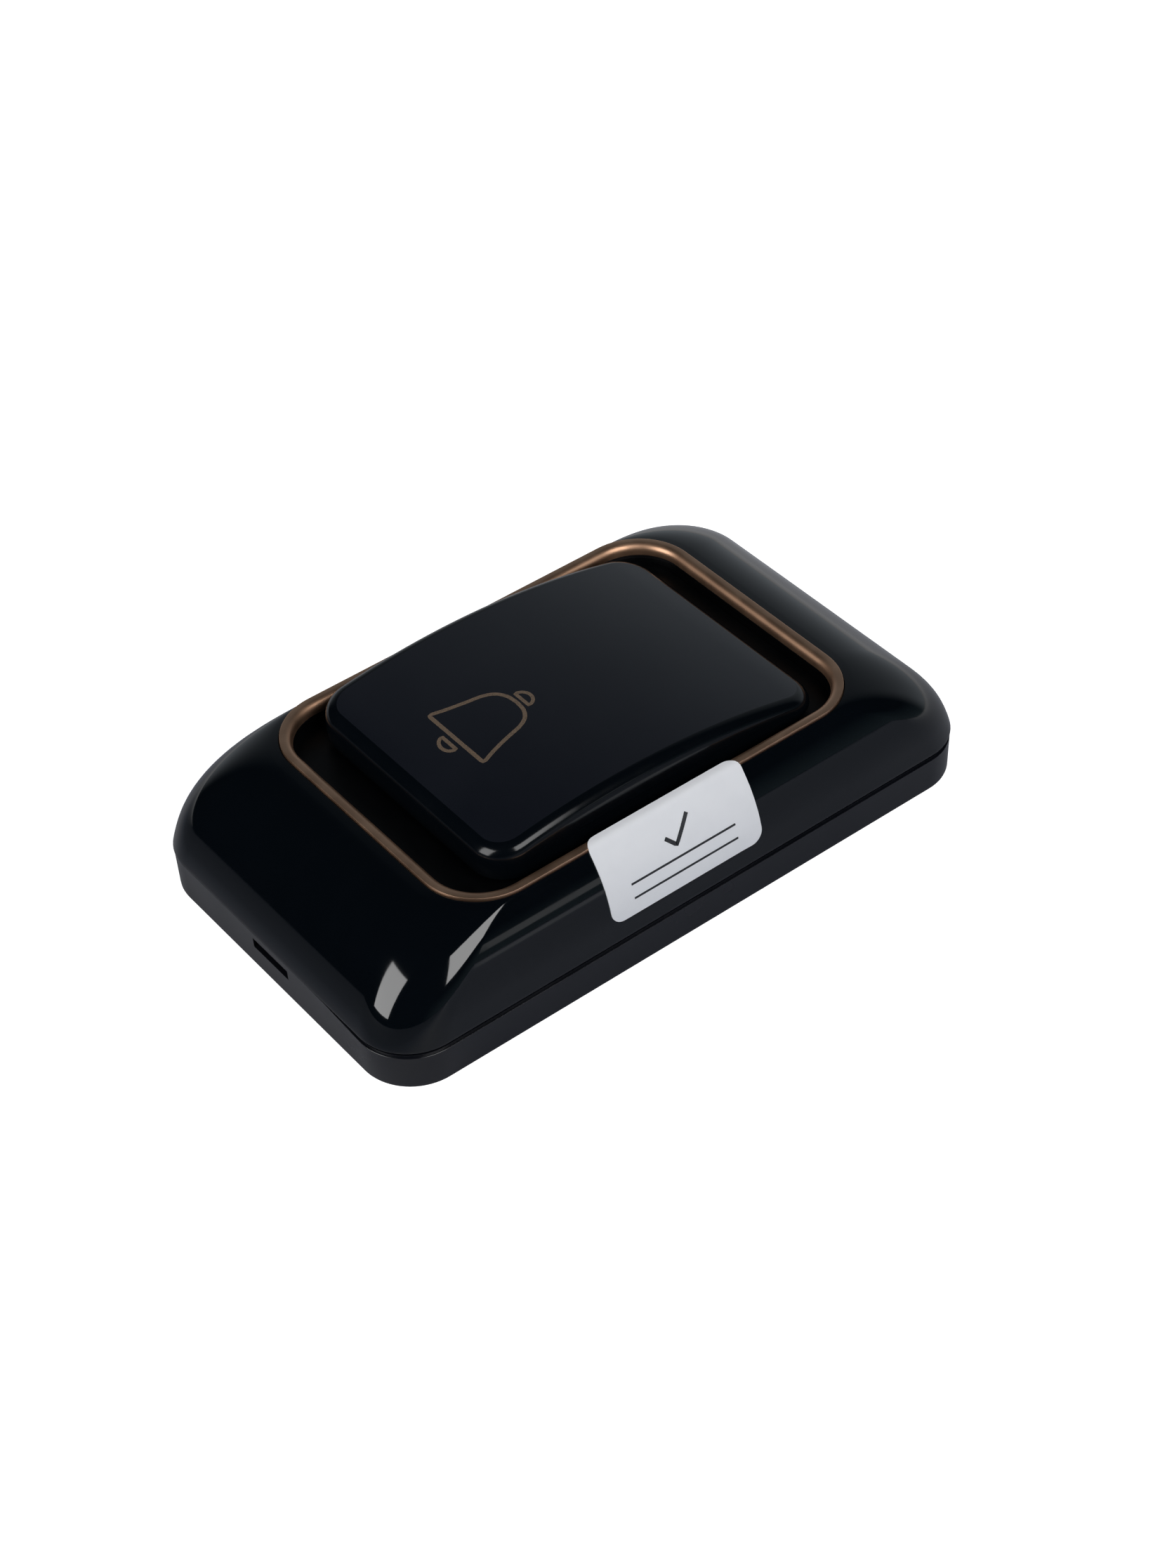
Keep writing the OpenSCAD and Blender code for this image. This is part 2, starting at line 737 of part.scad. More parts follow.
// Eight-lead encoder with a bevelled body and a pin mark
chip_w = 3.9;
chip_l = 4.9;
chip_h = 1.5;
chip_in = 10.3;
chip_x = board_x1 - chip_in;
chip_y = -4;
chip_lift = 0.1;
mark_d = 0.8;
mark_deep = 0.08;
lead_t = 0.2;
lead_w = 0.42;
lead_pitch = 1.27;
lead_flat = 0.3;
lead_slope = 0.15;
lead_foot = 0.55;
lead_off = 0.02;
module encoder_chip() {
    color("#17181a") translate([chip_x, chip_y, board_z + chip_lift]) difference() {
        translate([0, chip_l / 2, 0]) rotate([90, 0, 0]) linear_extrude(chip_l) bevelled(chip_w, chip_h);
        translate([mark_d - chip_w / 2, chip_l / 2 - mark_d, chip_h - mark_deep])
            cylinder(mark_deep + eps, d = mark_d);
    }
}

// Section of a moulded chip, widest at half height
module bevelled(w, h) {
    lean = h / 10;
    polygon([[lean - w / 2, 0], [w / 2 - lean, 0], [w / 2, h / 2], [w / 2 - lean, h],
             [lean - w / 2, h], [-w / 2, h / 2]]);
}

// Gull-wing leads of the encoder and of the transistor
module component_leads() {
    mid = board_z + chip_lift + chip_h / 2;
    color("silver") {
        for (s = [-1, 1], i = [0:3]) {
            gull(chip_x, chip_y + (i - 1.5) * lead_pitch, s, chip_w / 2 + lead_off, mid);
        }
        for (q = [[1, 0], [-1, -rf_l / 3], [-1, rf_l / 3]]) {
            gull(rf_x, rf_y + q[1], q[0], rf_w / 2 + lead_off, board_z + chip_lift + rf_h / 2);
        }
    }
}

// One lead: level out of the body, down, then a foot on the board
module gull(x, y, s, edge, z) {
    foot = board_z + lead_t / 2;
    bend = edge + lead_flat;
    heel = bend + lead_slope;
    translate([x, y + lead_w / 2, 0]) rotate([90, 0, 0]) linear_extrude(lead_w)
        strip([[s * edge, z], [s * bend, z], [s * heel, foot], [s * (heel + lead_foot), foot]], lead_t);
}

// Metal can of the radio resonator
saw_d = 8;
saw_h = 3.4;
saw_round = 0.6;
saw_rim = 0.6;
saw_rim_h = 0.5;
saw_gap = 1.5;
saw_x = board_x1 - trace_in - trace_w - saw_gap - saw_rim - saw_d / 2;
saw_y = 9.5;
module saw_resonator() {
    r = saw_d / 2;
    color("#c9c9c4") translate([saw_x, saw_y, board_z]) rotate_extrude()
        polygon([[0, 0], [r + saw_rim, 0], [r + saw_rim, saw_rim_h], [r, saw_rim_h],
                 for (i = [0:4]) [r - saw_round + saw_round * cos(i * 22.5),
                                  saw_h - saw_round + saw_round * sin(i * 22.5)],
                 [0, saw_h]]);
}

rf_w = 1.3;
rf_l = 2.9;
rf_h = 1;
rf_x = 2.5;
rf_y = 9;
module rf_transistor() {
    color("#17181a") translate([rf_x, rf_y + rf_l / 2, board_z + chip_lift]) rotate([90, 0, 0])
        linear_extrude(rf_l) bevelled(rf_w, rf_h);
}

// Surface-mount chips in two rows beside the switch and the transistor
smd_l = 2;
smd_w = 1.25;
smd_end = 0.35;
smd_lip = 0.03;
resistor_h = 0.5;
capacitor_h = 0.85;
row_pitch = 2.2;
row_x = switch_a + 2.5;
row_y = press_y - 3.5;
column_pitch = 3;
column_x = -2.2;
column_y = 3;
module chip_resistors() {
    color("#2a2a2c") for (i = [0:4]) {
        translate([row_x + row_pitch * i, row_y, board_z]) smd(resistor_h);
    }
}

module chip_capacitors() {
    color("#b9a27c") {
        for (i = [0:2]) {
            translate([column_x, column_y + column_pitch * i, board_z]) rotate([0, 0, 90]) smd(capacitor_h);
        }
        translate([column_pitch, column_y + smd_w, board_z]) rotate([0, 0, 90]) smd(capacitor_h);
    }
}

// One chip along Y: a body with slightly taller end caps
module smd(h) {
    translate([smd_lip - smd_w / 2, -smd_l / 2, 0]) cube([smd_w - 2 * smd_lip, smd_l, h - smd_lip]);
    for (y = [-smd_l / 2, smd_l / 2 - smd_end]) {
        translate([-smd_w / 2, y, 0]) cube([smd_w, smd_end, h]);
    }
}

// Battery, lying along the body beside the board

can_r = cell_d / 2 - 0.15;
module battery_can() {
    h = cell_l - 1;
    color("#c8c6c0") translate([cell_x, -cell_l / 2, cell_z]) rotate([-90, 0, 0]) rotate_extrude()
        polygon([[0, 0], [can_r - 0.5, 0], [can_r, 0.5], [can_r, h - 0.8], [can_r - 0.8, h],
                 [1.9, h], [1.7, h + 0.8], [1.5, h + 1], [0, h + 1]]);
}

module battery_jacket() {
    h = cell_l - 1;
    color("#2c2f36") translate([cell_x, -cell_l / 2, cell_z]) rotate([-90, 0, 0]) rotate_extrude()
        polygon([[can_r, 0.6], [cell_d / 2, 0.6], [cell_d / 2, h - 0.9], [can_r, h - 0.9]]);
}

// Bent strip contacts, each with a tail to the board
module contact(y) {
    s = y > 0 ? 1 : -1;
    back = s * (bay_end - contact_t / 2);
    touch = s * (cell_l / 2 + contact_t / 2 + seat);
    top = well_bot - slip;
    low = cell_z - 3.4;
    translate([cell_x - contact_w / 2, 0, 0]) rotate([90, 0, 90]) linear_extrude(contact_w)
        strip([[back, top], [back, low], [s * (bay_end - 0.7), low - 0.55], [touch, cell_z - 0.6],
               [touch, cell_z + 0.6], [s * (bay_end - 0.55), cell_z + 2.2]], contact_t);
    translate([cell_x + contact_w / 2 - eps, back - contact_t / 2, board_z + trace_t + seat])
        cube([board_x0 - cell_x - contact_w / 2 + eps + 2, contact_t, 2]);
}

module contact_negative() {
    color("#cfcdc6") contact(-1);
}

module contact_positive() {
    color("#cfcdc6") contact(1);
}

// Board screws with domed heads and crossed slots
module board_screws() {
    tip = board_z + pilot_h - 0.4;
    color("silver") for (p = board_posts) {
        translate([p[0], p[1], 0]) difference() {
            rotate_extrude() polygon([
                [0, board_lo - screw_head_h], [screw_head_d * 0.3, board_lo - screw_head_h],
                [screw_head_d * 0.44, board_lo - screw_head_h * 0.7],
                [screw_head_d / 2, board_lo - screw_head_h * 0.25], [screw_head_d / 2, board_lo],
                [pilot_d / 2 - seat, board_lo], [pilot_d / 2 - seat, tip - 0.6], [0, tip]]);
            for (t = [0, 90]) {
                translate([0, 0, board_lo - screw_head_h]) rotate([0, 0, t])
                    cube([screw_head_d * 0.6, 0.5, 1.2], center = true);
            }
        }
    }
}

// Paper sticker wrapped from the top of the trim ring over the shoulder of one long side

sticker_t = 0.12;
sticker_off = 0.03;
sticker_edge = 1.2;
sticker_r = 1.7;
sticker_steps = 24;
crown_t = asin((crown_z - side_zc) / side_r);
sticker_t1 = crown_t - sticker_edge / side_r * 180 / PI;
sticker_t0 = crown_t - sticker_h / side_r * 180 / PI;
sticker_x = ring_a - bead * 0.55;
sticker_z = side_zc + (side_r + sticker_off) * sin(sticker_t0);

function shoulder_point(i, r) =
    let (t = sticker_t0 + (sticker_t1 - sticker_t0) * i / sticker_steps)
    [side_xc + r * cos(t), side_zc + r * sin(t)];

// Inner face from the lower edge up, then the outer face back down
sticker_profile = concat(
    [for (i = [0 : sticker_steps]) shoulder_point(i, side_r + sticker_off)],
    [[ring_a + bead * 0.9, ring_z + sticker_off + 0.02], [sticker_x, ring_z + sticker_off]],
    [[sticker_x, ring_z + sticker_off + sticker_t]],
    [[ring_a + bead * 0.9 + sticker_t / 2, ring_z + sticker_off + sticker_t + 0.02]],
    [for (i = [sticker_steps : -1 : 0]) shoulder_point(i, side_r + sticker_off + sticker_t)]
);

module sticker() {
    color("#e6e9ef") intersection() {
        translate([0, sticker_y + sticker_l / 2, 0]) rotate([90, 0, 0])
            linear_extrude(sticker_l) polygon(sticker_profile);
        translate([side_xc, sticker_y, sticker_z + side_r]) rotate([90, 0, 90])
            linear_extrude(2 * side_r) rounded(sticker_l / 2, side_r, sticker_r);
        translate([sticker_x + side_r, sticker_y, sticker_z - 1])
            linear_extrude(crown_z) rounded(side_r, sticker_l / 2, sticker_r);
    }
}

base_plate();
front_cover();
trim_ring();
button_well();
button_cap();
circuit_board();
antenna_trace();
switch_housing();
switch_plate();
switch_plunger();
switch_legs();
encoder_chip();
component_leads();
saw_resonator();
rf_transistor();
chip_resistors();
chip_capacitors();
battery_can();
battery_jacket();
contact_negative();
contact_positive();
board_screws();
sticker();
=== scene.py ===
import math

import bmesh
import bpy
from mathutils import Matrix, Vector


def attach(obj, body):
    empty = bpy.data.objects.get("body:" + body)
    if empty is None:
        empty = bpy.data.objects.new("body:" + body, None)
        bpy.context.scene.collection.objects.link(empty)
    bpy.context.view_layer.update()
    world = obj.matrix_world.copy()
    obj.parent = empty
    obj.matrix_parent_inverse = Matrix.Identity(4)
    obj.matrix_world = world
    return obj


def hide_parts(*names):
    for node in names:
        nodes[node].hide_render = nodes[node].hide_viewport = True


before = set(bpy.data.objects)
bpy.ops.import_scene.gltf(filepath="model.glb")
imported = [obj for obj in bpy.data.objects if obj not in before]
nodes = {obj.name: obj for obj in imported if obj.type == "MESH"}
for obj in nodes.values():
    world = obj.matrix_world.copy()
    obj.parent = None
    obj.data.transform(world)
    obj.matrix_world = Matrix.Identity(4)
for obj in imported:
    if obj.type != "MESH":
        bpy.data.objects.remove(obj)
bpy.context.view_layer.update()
scene = bpy.context.scene
mm = 0.001  # all sizes below are in mm, the scene is in metres


# camera, from the edges of the object in the photo
cameraFit = {
    "azimuth": 53.93, "elevation": 42.38, "roll": -3.15,  # degrees
    "distance": 364.71, "right": 1.34, "up": 3.78,  # from the middle of the wall face
    "lens": 69.436, "sensor": 36,  # the sensor is along the tall side of the picture
    "near": 10, "far": 50000,
}


def outFrom(fit):
    # way from the object to a camera or a light
    a, e = math.radians(fit["azimuth"]), math.radians(fit["elevation"])
    return Vector((math.sin(a) * math.cos(e), -math.cos(a) * math.cos(e), math.sin(e)))


def addCamera(fit):
    a, r = math.radians(fit["azimuth"]), math.radians(fit["roll"])
    back, level = outFrom(fit), Vector((math.cos(a), math.sin(a), 0))
    upright = back.cross(level)
    right = level * math.cos(r) + upright * math.sin(r)
    up = upright * math.cos(r) - level * math.sin(r)
    place = (right * fit["right"] + up * fit["up"] + back * fit["distance"]) * mm
    data = bpy.data.cameras.new("camera")
    data.lens, data.sensor_width = fit["lens"], fit["sensor"]
    data.clip_start, data.clip_end = fit["near"] * mm, fit["far"] * mm
    obj = bpy.data.objects.new("camera", data)
    obj.matrix_world = Matrix((
        (right.x, up.x, back.x, place.x),
        (right.y, up.y, back.y, place.y),
        (right.z, up.z, back.z, place.z),
        (0, 0, 0, 1)))
    scene.collection.objects.link(obj)
    scene.camera = obj


addCamera(cameraFit)
print("camera placed")


# node and colour helpers
def colour(hexText):
    parts = [int(hexText[i:i + 2], 16) / 255 for i in (1, 3, 5)]
    return tuple(c / 12.92 if c <= 0.04045 else ((c + 0.055) / 1.055) ** 2.4 for c in parts) + (1,)


def perMetre(size):
    return 1000 / size  # texture scale for a feature of that many mm


def addNode(tree, kind, settings=None, links=None):
    node = tree.nodes.new(kind)
    for key, value in (settings or {}).items():
        if isinstance(key, int) or key in node.inputs:
            node.inputs[key].default_value = value
        else:
            setattr(node, key, value)
    for key, source in (links or {}).items():
        tree.links.new(source, node.inputs[key])
    return node


def plug(tree, shader, sources):
    for socket, source in sources.items():
        tree.links.new(source, shader.inputs[socket])


def startFinish(name, settings):
    finish = bpy.data.materials.new(name)
    finish.use_nodes = True
    tree = finish.node_tree
    tree.nodes.clear()
    shader = addNode(tree, "ShaderNodeBsdfPrincipled", settings)
    addNode(tree, "ShaderNodeOutputMaterial", links={"Surface": shader.outputs["BSDF"]})
    place = addNode(tree, "ShaderNodeTexCoord").outputs["Object"]
    return finish, tree, shader, place


# studio: two softboxes either side of the camera, two small strips, a white table, a dark room
studio = {
    "matt": {"Roughness": 0.9, "Specular IOR Level": 0.1}, "tableSize": 5000,
    "sheetTone": "#ffffff", "sheetGlow": 0.8, "sheetDrop": 0.02,
    # painted shade and light on the table: tones by mm in front of the middle, and what they turn to over so
    # many mm behind it, where the table also glows
    "tableShadeTones": ((30, "#9ca0ac"), (43, "#b6b7bd"), (55, "#8b8f9b"), (65, "#747882"), (90, "#6d7079"),
                   (130, "#676a73"), (430, "#5c5f67")),
    "tableDrop": 0.06, "tableLitBack": "#b4b5b8", "backSpan": 300, "paintedBackGlow": 0.42, "glowSpan": 160,
    "roomTone": "#0a0c10", "backdropTone": "#f4f5f7",
    "walls": {
        "sweep": {"tone": "#dfe8f0", "way": (-0.66, 0.75, 0), "reach": (0.45, 0.72), "top": 0.85,
                  "glow": 0.58},
        "side": {"tone": "#c6e6ee", "way": (0.9, 0.44, 0), "reach": (0.45, 0.85), "top": 0.31,
                 "glow": 0.155},
    },
    "boxes": {
        "leftBox": {"azimuth": -5, "elevation": 27, "away": 1000, "wide": 460, "tall": 690, "power": 5.6},
        "rightBox": {"azimuth": 92, "elevation": 42, "away": 1000, "wide": 520, "tall": 580, "power": 5.5},
        "strip": {"azimuth": 114, "elevation": 8.2, "away": 1000, "wide": 120, "tall": 90, "power": 0.02},
        "lowStrip": {"azimuth": 104.5, "elevation": 1.9, "away": 164, "wide": 30, "tall": 8,
                     "power": 0.00022},
    },
}


def addSoftbox(name, box):
    back = outFrom(box)
    light = bpy.data.lights.new(name, "AREA")
    light.shape, light.energy = "RECTANGLE", box["power"]
    light.size, light.size_y = box["wide"] * mm, box["tall"] * mm
    obj = bpy.data.objects.new(name, light)
    obj.location = back * box["away"] * mm
    obj.rotation_mode = "QUATERNION"
    obj.rotation_quaternion = (-back).to_track_quat("-Z", "Y")
    obj.visible_camera = False
    scene.collection.objects.link(obj)


def addSheet(name, drop, finish):
    half, low = studio["tableSize"] * mm / 2, -drop * mm
    mesh = bpy.data.meshes.new(name)
    mesh.from_pydata([(-half, -half, low), (half, -half, low), (half, half, low), (-half, half, low)],
                     [], [(0, 1, 2, 3)])
    mesh.materials.append(finish)
    obj = bpy.data.objects.new(name, mesh)
    scene.collection.objects.link(obj)
    return obj


def addTable():
    # the white sheet is what the eye sees; gloss reflects the greyer table just under it,
    # as the photo's dark sides show
    white = colour(studio["sheetTone"])
    sheet = addSheet("whiteSheet", studio["sheetDrop"], startFinish("matt white sheet", {
        **studio["matt"], "Base Color": white, "Emission Color": white,
        "Emission Strength": studio["sheetGlow"]})[0])
    # painted shade: the greyer table, seen only in reflections, stands in for the table in shade round the
    # object
    finish, tree, shader, place = startFinish("matt grey table", {**studio["matt"], "Emission Color": white})
    # painted light and shade: it is paler and glows behind the object, and falls off in front of the pressed
    # end
    tones = studio["tableShadeTones"]
    first, last = tones[0][0], tones[-1][0]
    along = addNode(tree, "ShaderNodeSeparateXYZ", links={0: place})
    ahead = addNode(tree, "ShaderNodeMapRange", {"From Min": -first * mm, "From Max": -last * mm},
                    {"Value": along.outputs["Y"]})
    front = addNode(tree, "ShaderNodeValToRGB", links={0: ahead.outputs[0]})
    stops = front.color_ramp.elements
    for away, tone in tones[1:-1]:
        stops.new((away - first) / (last - first))
    for stop, (away, tone) in zip(stops, tones):
        stop.color = colour(tone)
    behind = addNode(tree, "ShaderNodeVectorMath", {
        "operation": "DOT_PRODUCT", 1: studio["walls"]["sweep"]["way"]}, {0: place}).outputs["Value"]
    paler = addNode(tree, "ShaderNodeMapRange", {"From Max": studio["backSpan"] * mm}, {"Value": behind})
    # painted light: the table glows behind the object, though it is no lamp
    glow = addNode(tree, "ShaderNodeMapRange", {
        "From Max": studio["glowSpan"] * mm, "To Max": studio["paintedBackGlow"]}, {"Value": behind})
    tone = addNode(tree, "ShaderNodeMix", {"data_type": "RGBA", 7: colour(studio["tableLitBack"])},
                   {0: paler.outputs[0], 6: front.outputs["Color"]})
    plug(tree, shader, {"Base Color": tone.outputs[2], "Emission Strength": glow.outputs[0]})
    table = addSheet("greyTable", studio["tableDrop"], finish)
    sheet.visible_diffuse = sheet.visible_glossy = sheet.visible_transmission = sheet.visible_shadow = False
    table.visible_camera = False


def setRoom():
    world = bpy.data.worlds.new("room")
    world.use_nodes = True
    tree = world.node_tree
    tree.nodes.clear()
    way = addNode(tree, "ShaderNodeTexCoord").outputs["Generated"]
    height = addNode(tree, "ShaderNodeSeparateXYZ", links={0: way})
    room = addNode(tree, "ShaderNodeBackground", {"Color": colour(studio["roomTone"]), "Strength": 1})
    # pale sweep behind the object and a fainter wall beyond the sticker, both bright low down
    for wall in studio["walls"].values():
        toward = addNode(tree, "ShaderNodeVectorMath", {"operation": "DOT_PRODUCT", 1: wall["way"]}, {0: way})
        start, full = wall["reach"]
        reach = addNode(tree, "ShaderNodeMapRange", {
            "interpolation_type": "SMOOTHSTEP", "From Min": start, "From Max": full},
            {"Value": toward.outputs["Value"]})
        fade = addNode(tree, "ShaderNodeMapRange", {
            "From Max": wall["top"], "To Min": wall["glow"], "To Max": 0}, {"Value": height.outputs["Z"]})
        glow = addNode(tree, "ShaderNodeMath", {"operation": "MULTIPLY"},
                       {0: reach.outputs[0], 1: fade.outputs[0]})
        lit = addNode(tree, "ShaderNodeBackground", {"Color": colour(wall["tone"])},
                      {"Strength": glow.outputs[0]})
        room = addNode(tree, "ShaderNodeAddShader", links={0: lit.outputs[0], 1: room.outputs[0]})
    backdrop = addNode(tree, "ShaderNodeBackground", {
        "Color": colour(studio["backdropTone"]), "Strength": 1})
    seen = addNode(tree, "ShaderNodeLightPath").outputs["Is Camera Ray"]
    mix = addNode(tree, "ShaderNodeMixShader", links={0: seen, 1: room.outputs[0], 2: backdrop.outputs[0]})
    addNode(tree, "ShaderNodeOutputWorld", links={"Surface": mix.outputs[0]})
    scene.world = world
    scene.view_settings.view_transform = "Standard"


addTable()
setRoom()
for boxName, box in studio["boxes"].items():
    addSoftbox(boxName, box)
print("studio lit")


# finishes
# gloss ABS from a polished mould: blue-black, mirror-like, with the slow waviness of moulded
# walls and faint wiping marks that soften the reflections in places
glossAbs = {"deep": "#04080c", "worn": "#070b10", "ior": 1.53, "smooth": 0.05, "wiped": 0.12,
            "smear": 9, "smearSpan": (0.45, 0.8), "wave": 5, "waveDepth": 0.004, "waveStrength": 0.5}


def makeGlossAbs(name, use, **sockets):
    finish, tree, shader, place = startFinish(name, {"IOR": use["ior"], **sockets})
    smear = addNode(tree, "ShaderNodeTexNoise", {
        "Scale": perMetre(use["smear"]), "Detail": 4, "Roughness": 0.6, "Distortion": 0.8}, {"Vector": place})
    tone = addNode(tree, "ShaderNodeMix", {
        "data_type": "RGBA", 6: colour(use["deep"]), 7: colour(use["worn"])}, {0: smear.outputs["Fac"]})
    low, high = use["smearSpan"]
    rough = addNode(tree, "ShaderNodeMapRange", {
        "From Min": low, "From Max": high, "To Min": use["smooth"], "To Max": use["wiped"]},
        {"Value": smear.outputs["Fac"]})
    wave = addNode(tree, "ShaderNodeTexNoise", {"Scale": perMetre(use["wave"]), "Detail": 1},
                   {"Vector": place})
    bump = addNode(tree, "ShaderNodeBump", {
        "Strength": use["waveStrength"], "Distance": use["waveDepth"] * mm}, {"Height": wave.outputs["Fac"]})
    plug(tree, shader, {
        "Base Color": tone.outputs[2], "Roughness": rough.outputs[0], "Normal": bump.outputs[0]})
    return finish


coverFinish = makeGlossAbs("gloss ABS, polished mould", glossAbs)
# the well is less polished, with a blurred weak sheen; its nearly black tone, darker than the cover's, is
# painted shade in the recess round the button
wellGlossAndShade = {**glossAbs, "deep": "#010203", "worn": "#020305", "smooth": 0.4, "wiped": 0.5}
wellFinish = makeGlossAbs("gloss ABS, inner moulding", wellGlossAndShade, **{"Specular IOR Level": 0.25})
# fingers rub the sides of the button, so their highlights are softer and weaker
sideGloss = {**glossAbs, "smooth": 0.13, "wiped": 0.22}
sideFinish = makeGlossAbs("gloss ABS, hand-polished mould", sideGloss, **{"Specular IOR Level": 0.3})

# satin ABS: a finely blasted mould leaves a soft sheen and a grain too fine to see singly,
# so it is drawn at 0.2 mm to show; handling polishes it in clouds
# its tone is greyer than the gloss ABS: partly the satin finish, partly painted sheen from above on the
# button's top
satinAbs = {"tone": "#12151c", "light": "#161920", "ior": 1.53, "rough": 0.27, "polished": 0.2,
            "grain": 0.2, "grainDepth": 0.0006, "cloud": 12}
grained = {"cloudSpan": (0.35, 0.7), "strength": 0.4}  # the same for every grained finish


def makeGrained(name, use, **sockets):
    # cloudy tone and gloss with a fine grain, stretched along one way where the metal was rolled
    if "ior" in use:
        sockets["IOR"] = use["ior"]
    finish, tree, shader, place = startFinish(name, sockets)
    if "stretch" in use:
        place = addNode(tree, "ShaderNodeMapping", {"Scale": use["stretch"]}, {"Vector": place}).outputs[0]
    cloud = addNode(tree, "ShaderNodeTexNoise", {"Scale": perMetre(use["cloud"]), "Detail": 3},
                    {"Vector": place})
    tone = addNode(tree, "ShaderNodeMix", {
        "data_type": "RGBA", 6: colour(use["tone"]), 7: colour(use["light"])}, {0: cloud.outputs["Fac"]})
    low, high = grained["cloudSpan"]
    rough = addNode(tree, "ShaderNodeMapRange", {
        "From Min": low, "From Max": high, "To Min": use["polished"], "To Max": use["rough"]},
        {"Value": cloud.outputs["Fac"]})
    grain = addNode(tree, "ShaderNodeTexNoise", {"Scale": perMetre(use["grain"]), "Detail": 2},
                    {"Vector": place})
    bump = addNode(tree, "ShaderNodeBump", {
        "Strength": grained["strength"], "Distance": use["grainDepth"] * mm},
        {"Height": grain.outputs["Fac"]})
    plug(tree, shader, {
        "Base Color": tone.outputs[2], "Roughness": rough.outputs[0], "Normal": bump.outputs[0]})
    return finish


buttonFinish = makeGrained("satin ABS, fine blasted mould", satinAbs, **{"Specular IOR Level": 0.4})

# matt ABS from a spark-eroded mould: dull grey-black with a pebbled grain that scatters light;
# real grain is near 0.1 mm and is drawn at 0.3 mm to show
mattAbs = {**satinAbs, "tone": "#0c0e13", "light": "#111319", "rough": 0.28, "polished": 0.2,
           "grain": 0.3, "grainDepth": 0.005, "cloud": 8}
baseFinish = makeGrained("matt ABS, spark-eroded mould", mattAbs)
# the core side of the gloss mouldings is only milled, so it stays dull
innerAbs = {**mattAbs, "tone": "#08090c", "light": "#0c0d10", "rough": 0.55, "polished": 0.42, "grain": 0.4}
innerFinish = makeGrained("matt ABS, milled mould core", innerAbs)

# rose-gold vacuum plating on a moulded ring: a warm metal with a slightly rippled soft gloss,
# paler in clouds towards the top of the crest
plating = {"tone": "#c39c80", "paleCrestTone": "#d6b69c", "rough": 0.42, "dull": 0.5, "cloud": 3,
           "cloudSpan": (0.4, 0.75), "ripple": 1.6, "rippleDepth": 0.004, "rippleStrength": 0.5,
           "crest": (17.2, 17.36)}


def makePlating(name, use):
    finish, tree, shader, place = startFinish(name, {"Metallic": 1})
    height = addNode(tree, "ShaderNodeSeparateXYZ", links={0: place})
    start, full = use["crest"]
    crest = addNode(tree, "ShaderNodeMapRange", {"From Min": start * mm, "From Max": full * mm},
                    {"Value": height.outputs["Z"]})
    cloud = addNode(tree, "ShaderNodeTexNoise", {"Scale": perMetre(use["cloud"]), "Detail": 4},
                    {"Vector": place})
    rub = addNode(tree, "ShaderNodeMath", {"operation": "MULTIPLY"},
                  {0: crest.outputs[0], 1: cloud.outputs["Fac"]})
    tone = addNode(tree, "ShaderNodeMix", {
        "data_type": "RGBA", 6: colour(use["tone"]), 7: colour(use["paleCrestTone"])}, {0: rub.outputs[0]})
    low, high = use["cloudSpan"]
    rough = addNode(tree, "ShaderNodeMapRange", {
        "From Min": low, "From Max": high, "To Min": use["rough"], "To Max": use["dull"]},
        {"Value": cloud.outputs["Fac"]})
    ripple = addNode(tree, "ShaderNodeTexNoise", {"Scale": perMetre(use["ripple"]), "Detail": 2},
                     {"Vector": place})
    bump = addNode(tree, "ShaderNodeBump", {
        "Strength": use["rippleStrength"], "Distance": use["rippleDepth"] * mm},
        {"Height": ripple.outputs["Fac"]})
    plug(tree, shader, {
        "Base Color": tone.outputs[2], "Roughness": rough.outputs[0], "Normal": bump.outputs[0]})
    return finish


ringFinish = makePlating("rose-gold plating, vacuum coated", plating)

# metallic ink, pad printed: fine flakes lie flat in a thin film, so it is warm but never a mirror
metalInk = {"tone": "#84715f", "thin": "#5c5046", "metallic": 0.35, "rough": 0.42,
            "flake": 0.12, "flakeSpan": (0.3, 0.55)}


def makeMetalInk(name, use):
    finish, tree, shader, place = startFinish(name, {"Metallic": use["metallic"], "Roughness": use["rough"]})
    flake = addNode(tree, "ShaderNodeTexNoise", {"Scale": perMetre(use["flake"]), "Detail": 2},
                    {"Vector": place})
    low, high = use["flakeSpan"]
    dense = addNode(tree, "ShaderNodeMapRange", {"From Min": low, "From Max": high},
                    {"Value": flake.outputs["Fac"]})
    tone = addNode(tree, "ShaderNodeMix", {
        "data_type": "RGBA", 6: colour(use["thin"]), 7: colour(use["tone"])}, {0: dense.outputs[0]})
    plug(tree, shader, {"Base Color": tone.outputs[2]})
    return finish


inkFinish = makeMetalInk("metallic ink, pad printed", metalInk)

# coated label paper, die cut: bright white with a hint of blue, a low sheen and faint fibre clouds
labelPaper = {"tone": "#f9fbff", "cloudTone": "#f1f3f8", "rough": 0.5, "ior": 1.45, "sheen": 0.35,
              "cloud": 2.5, "fibre": 0.25, "fibreDepth": 0.004, "fibreStrength": 0.35}


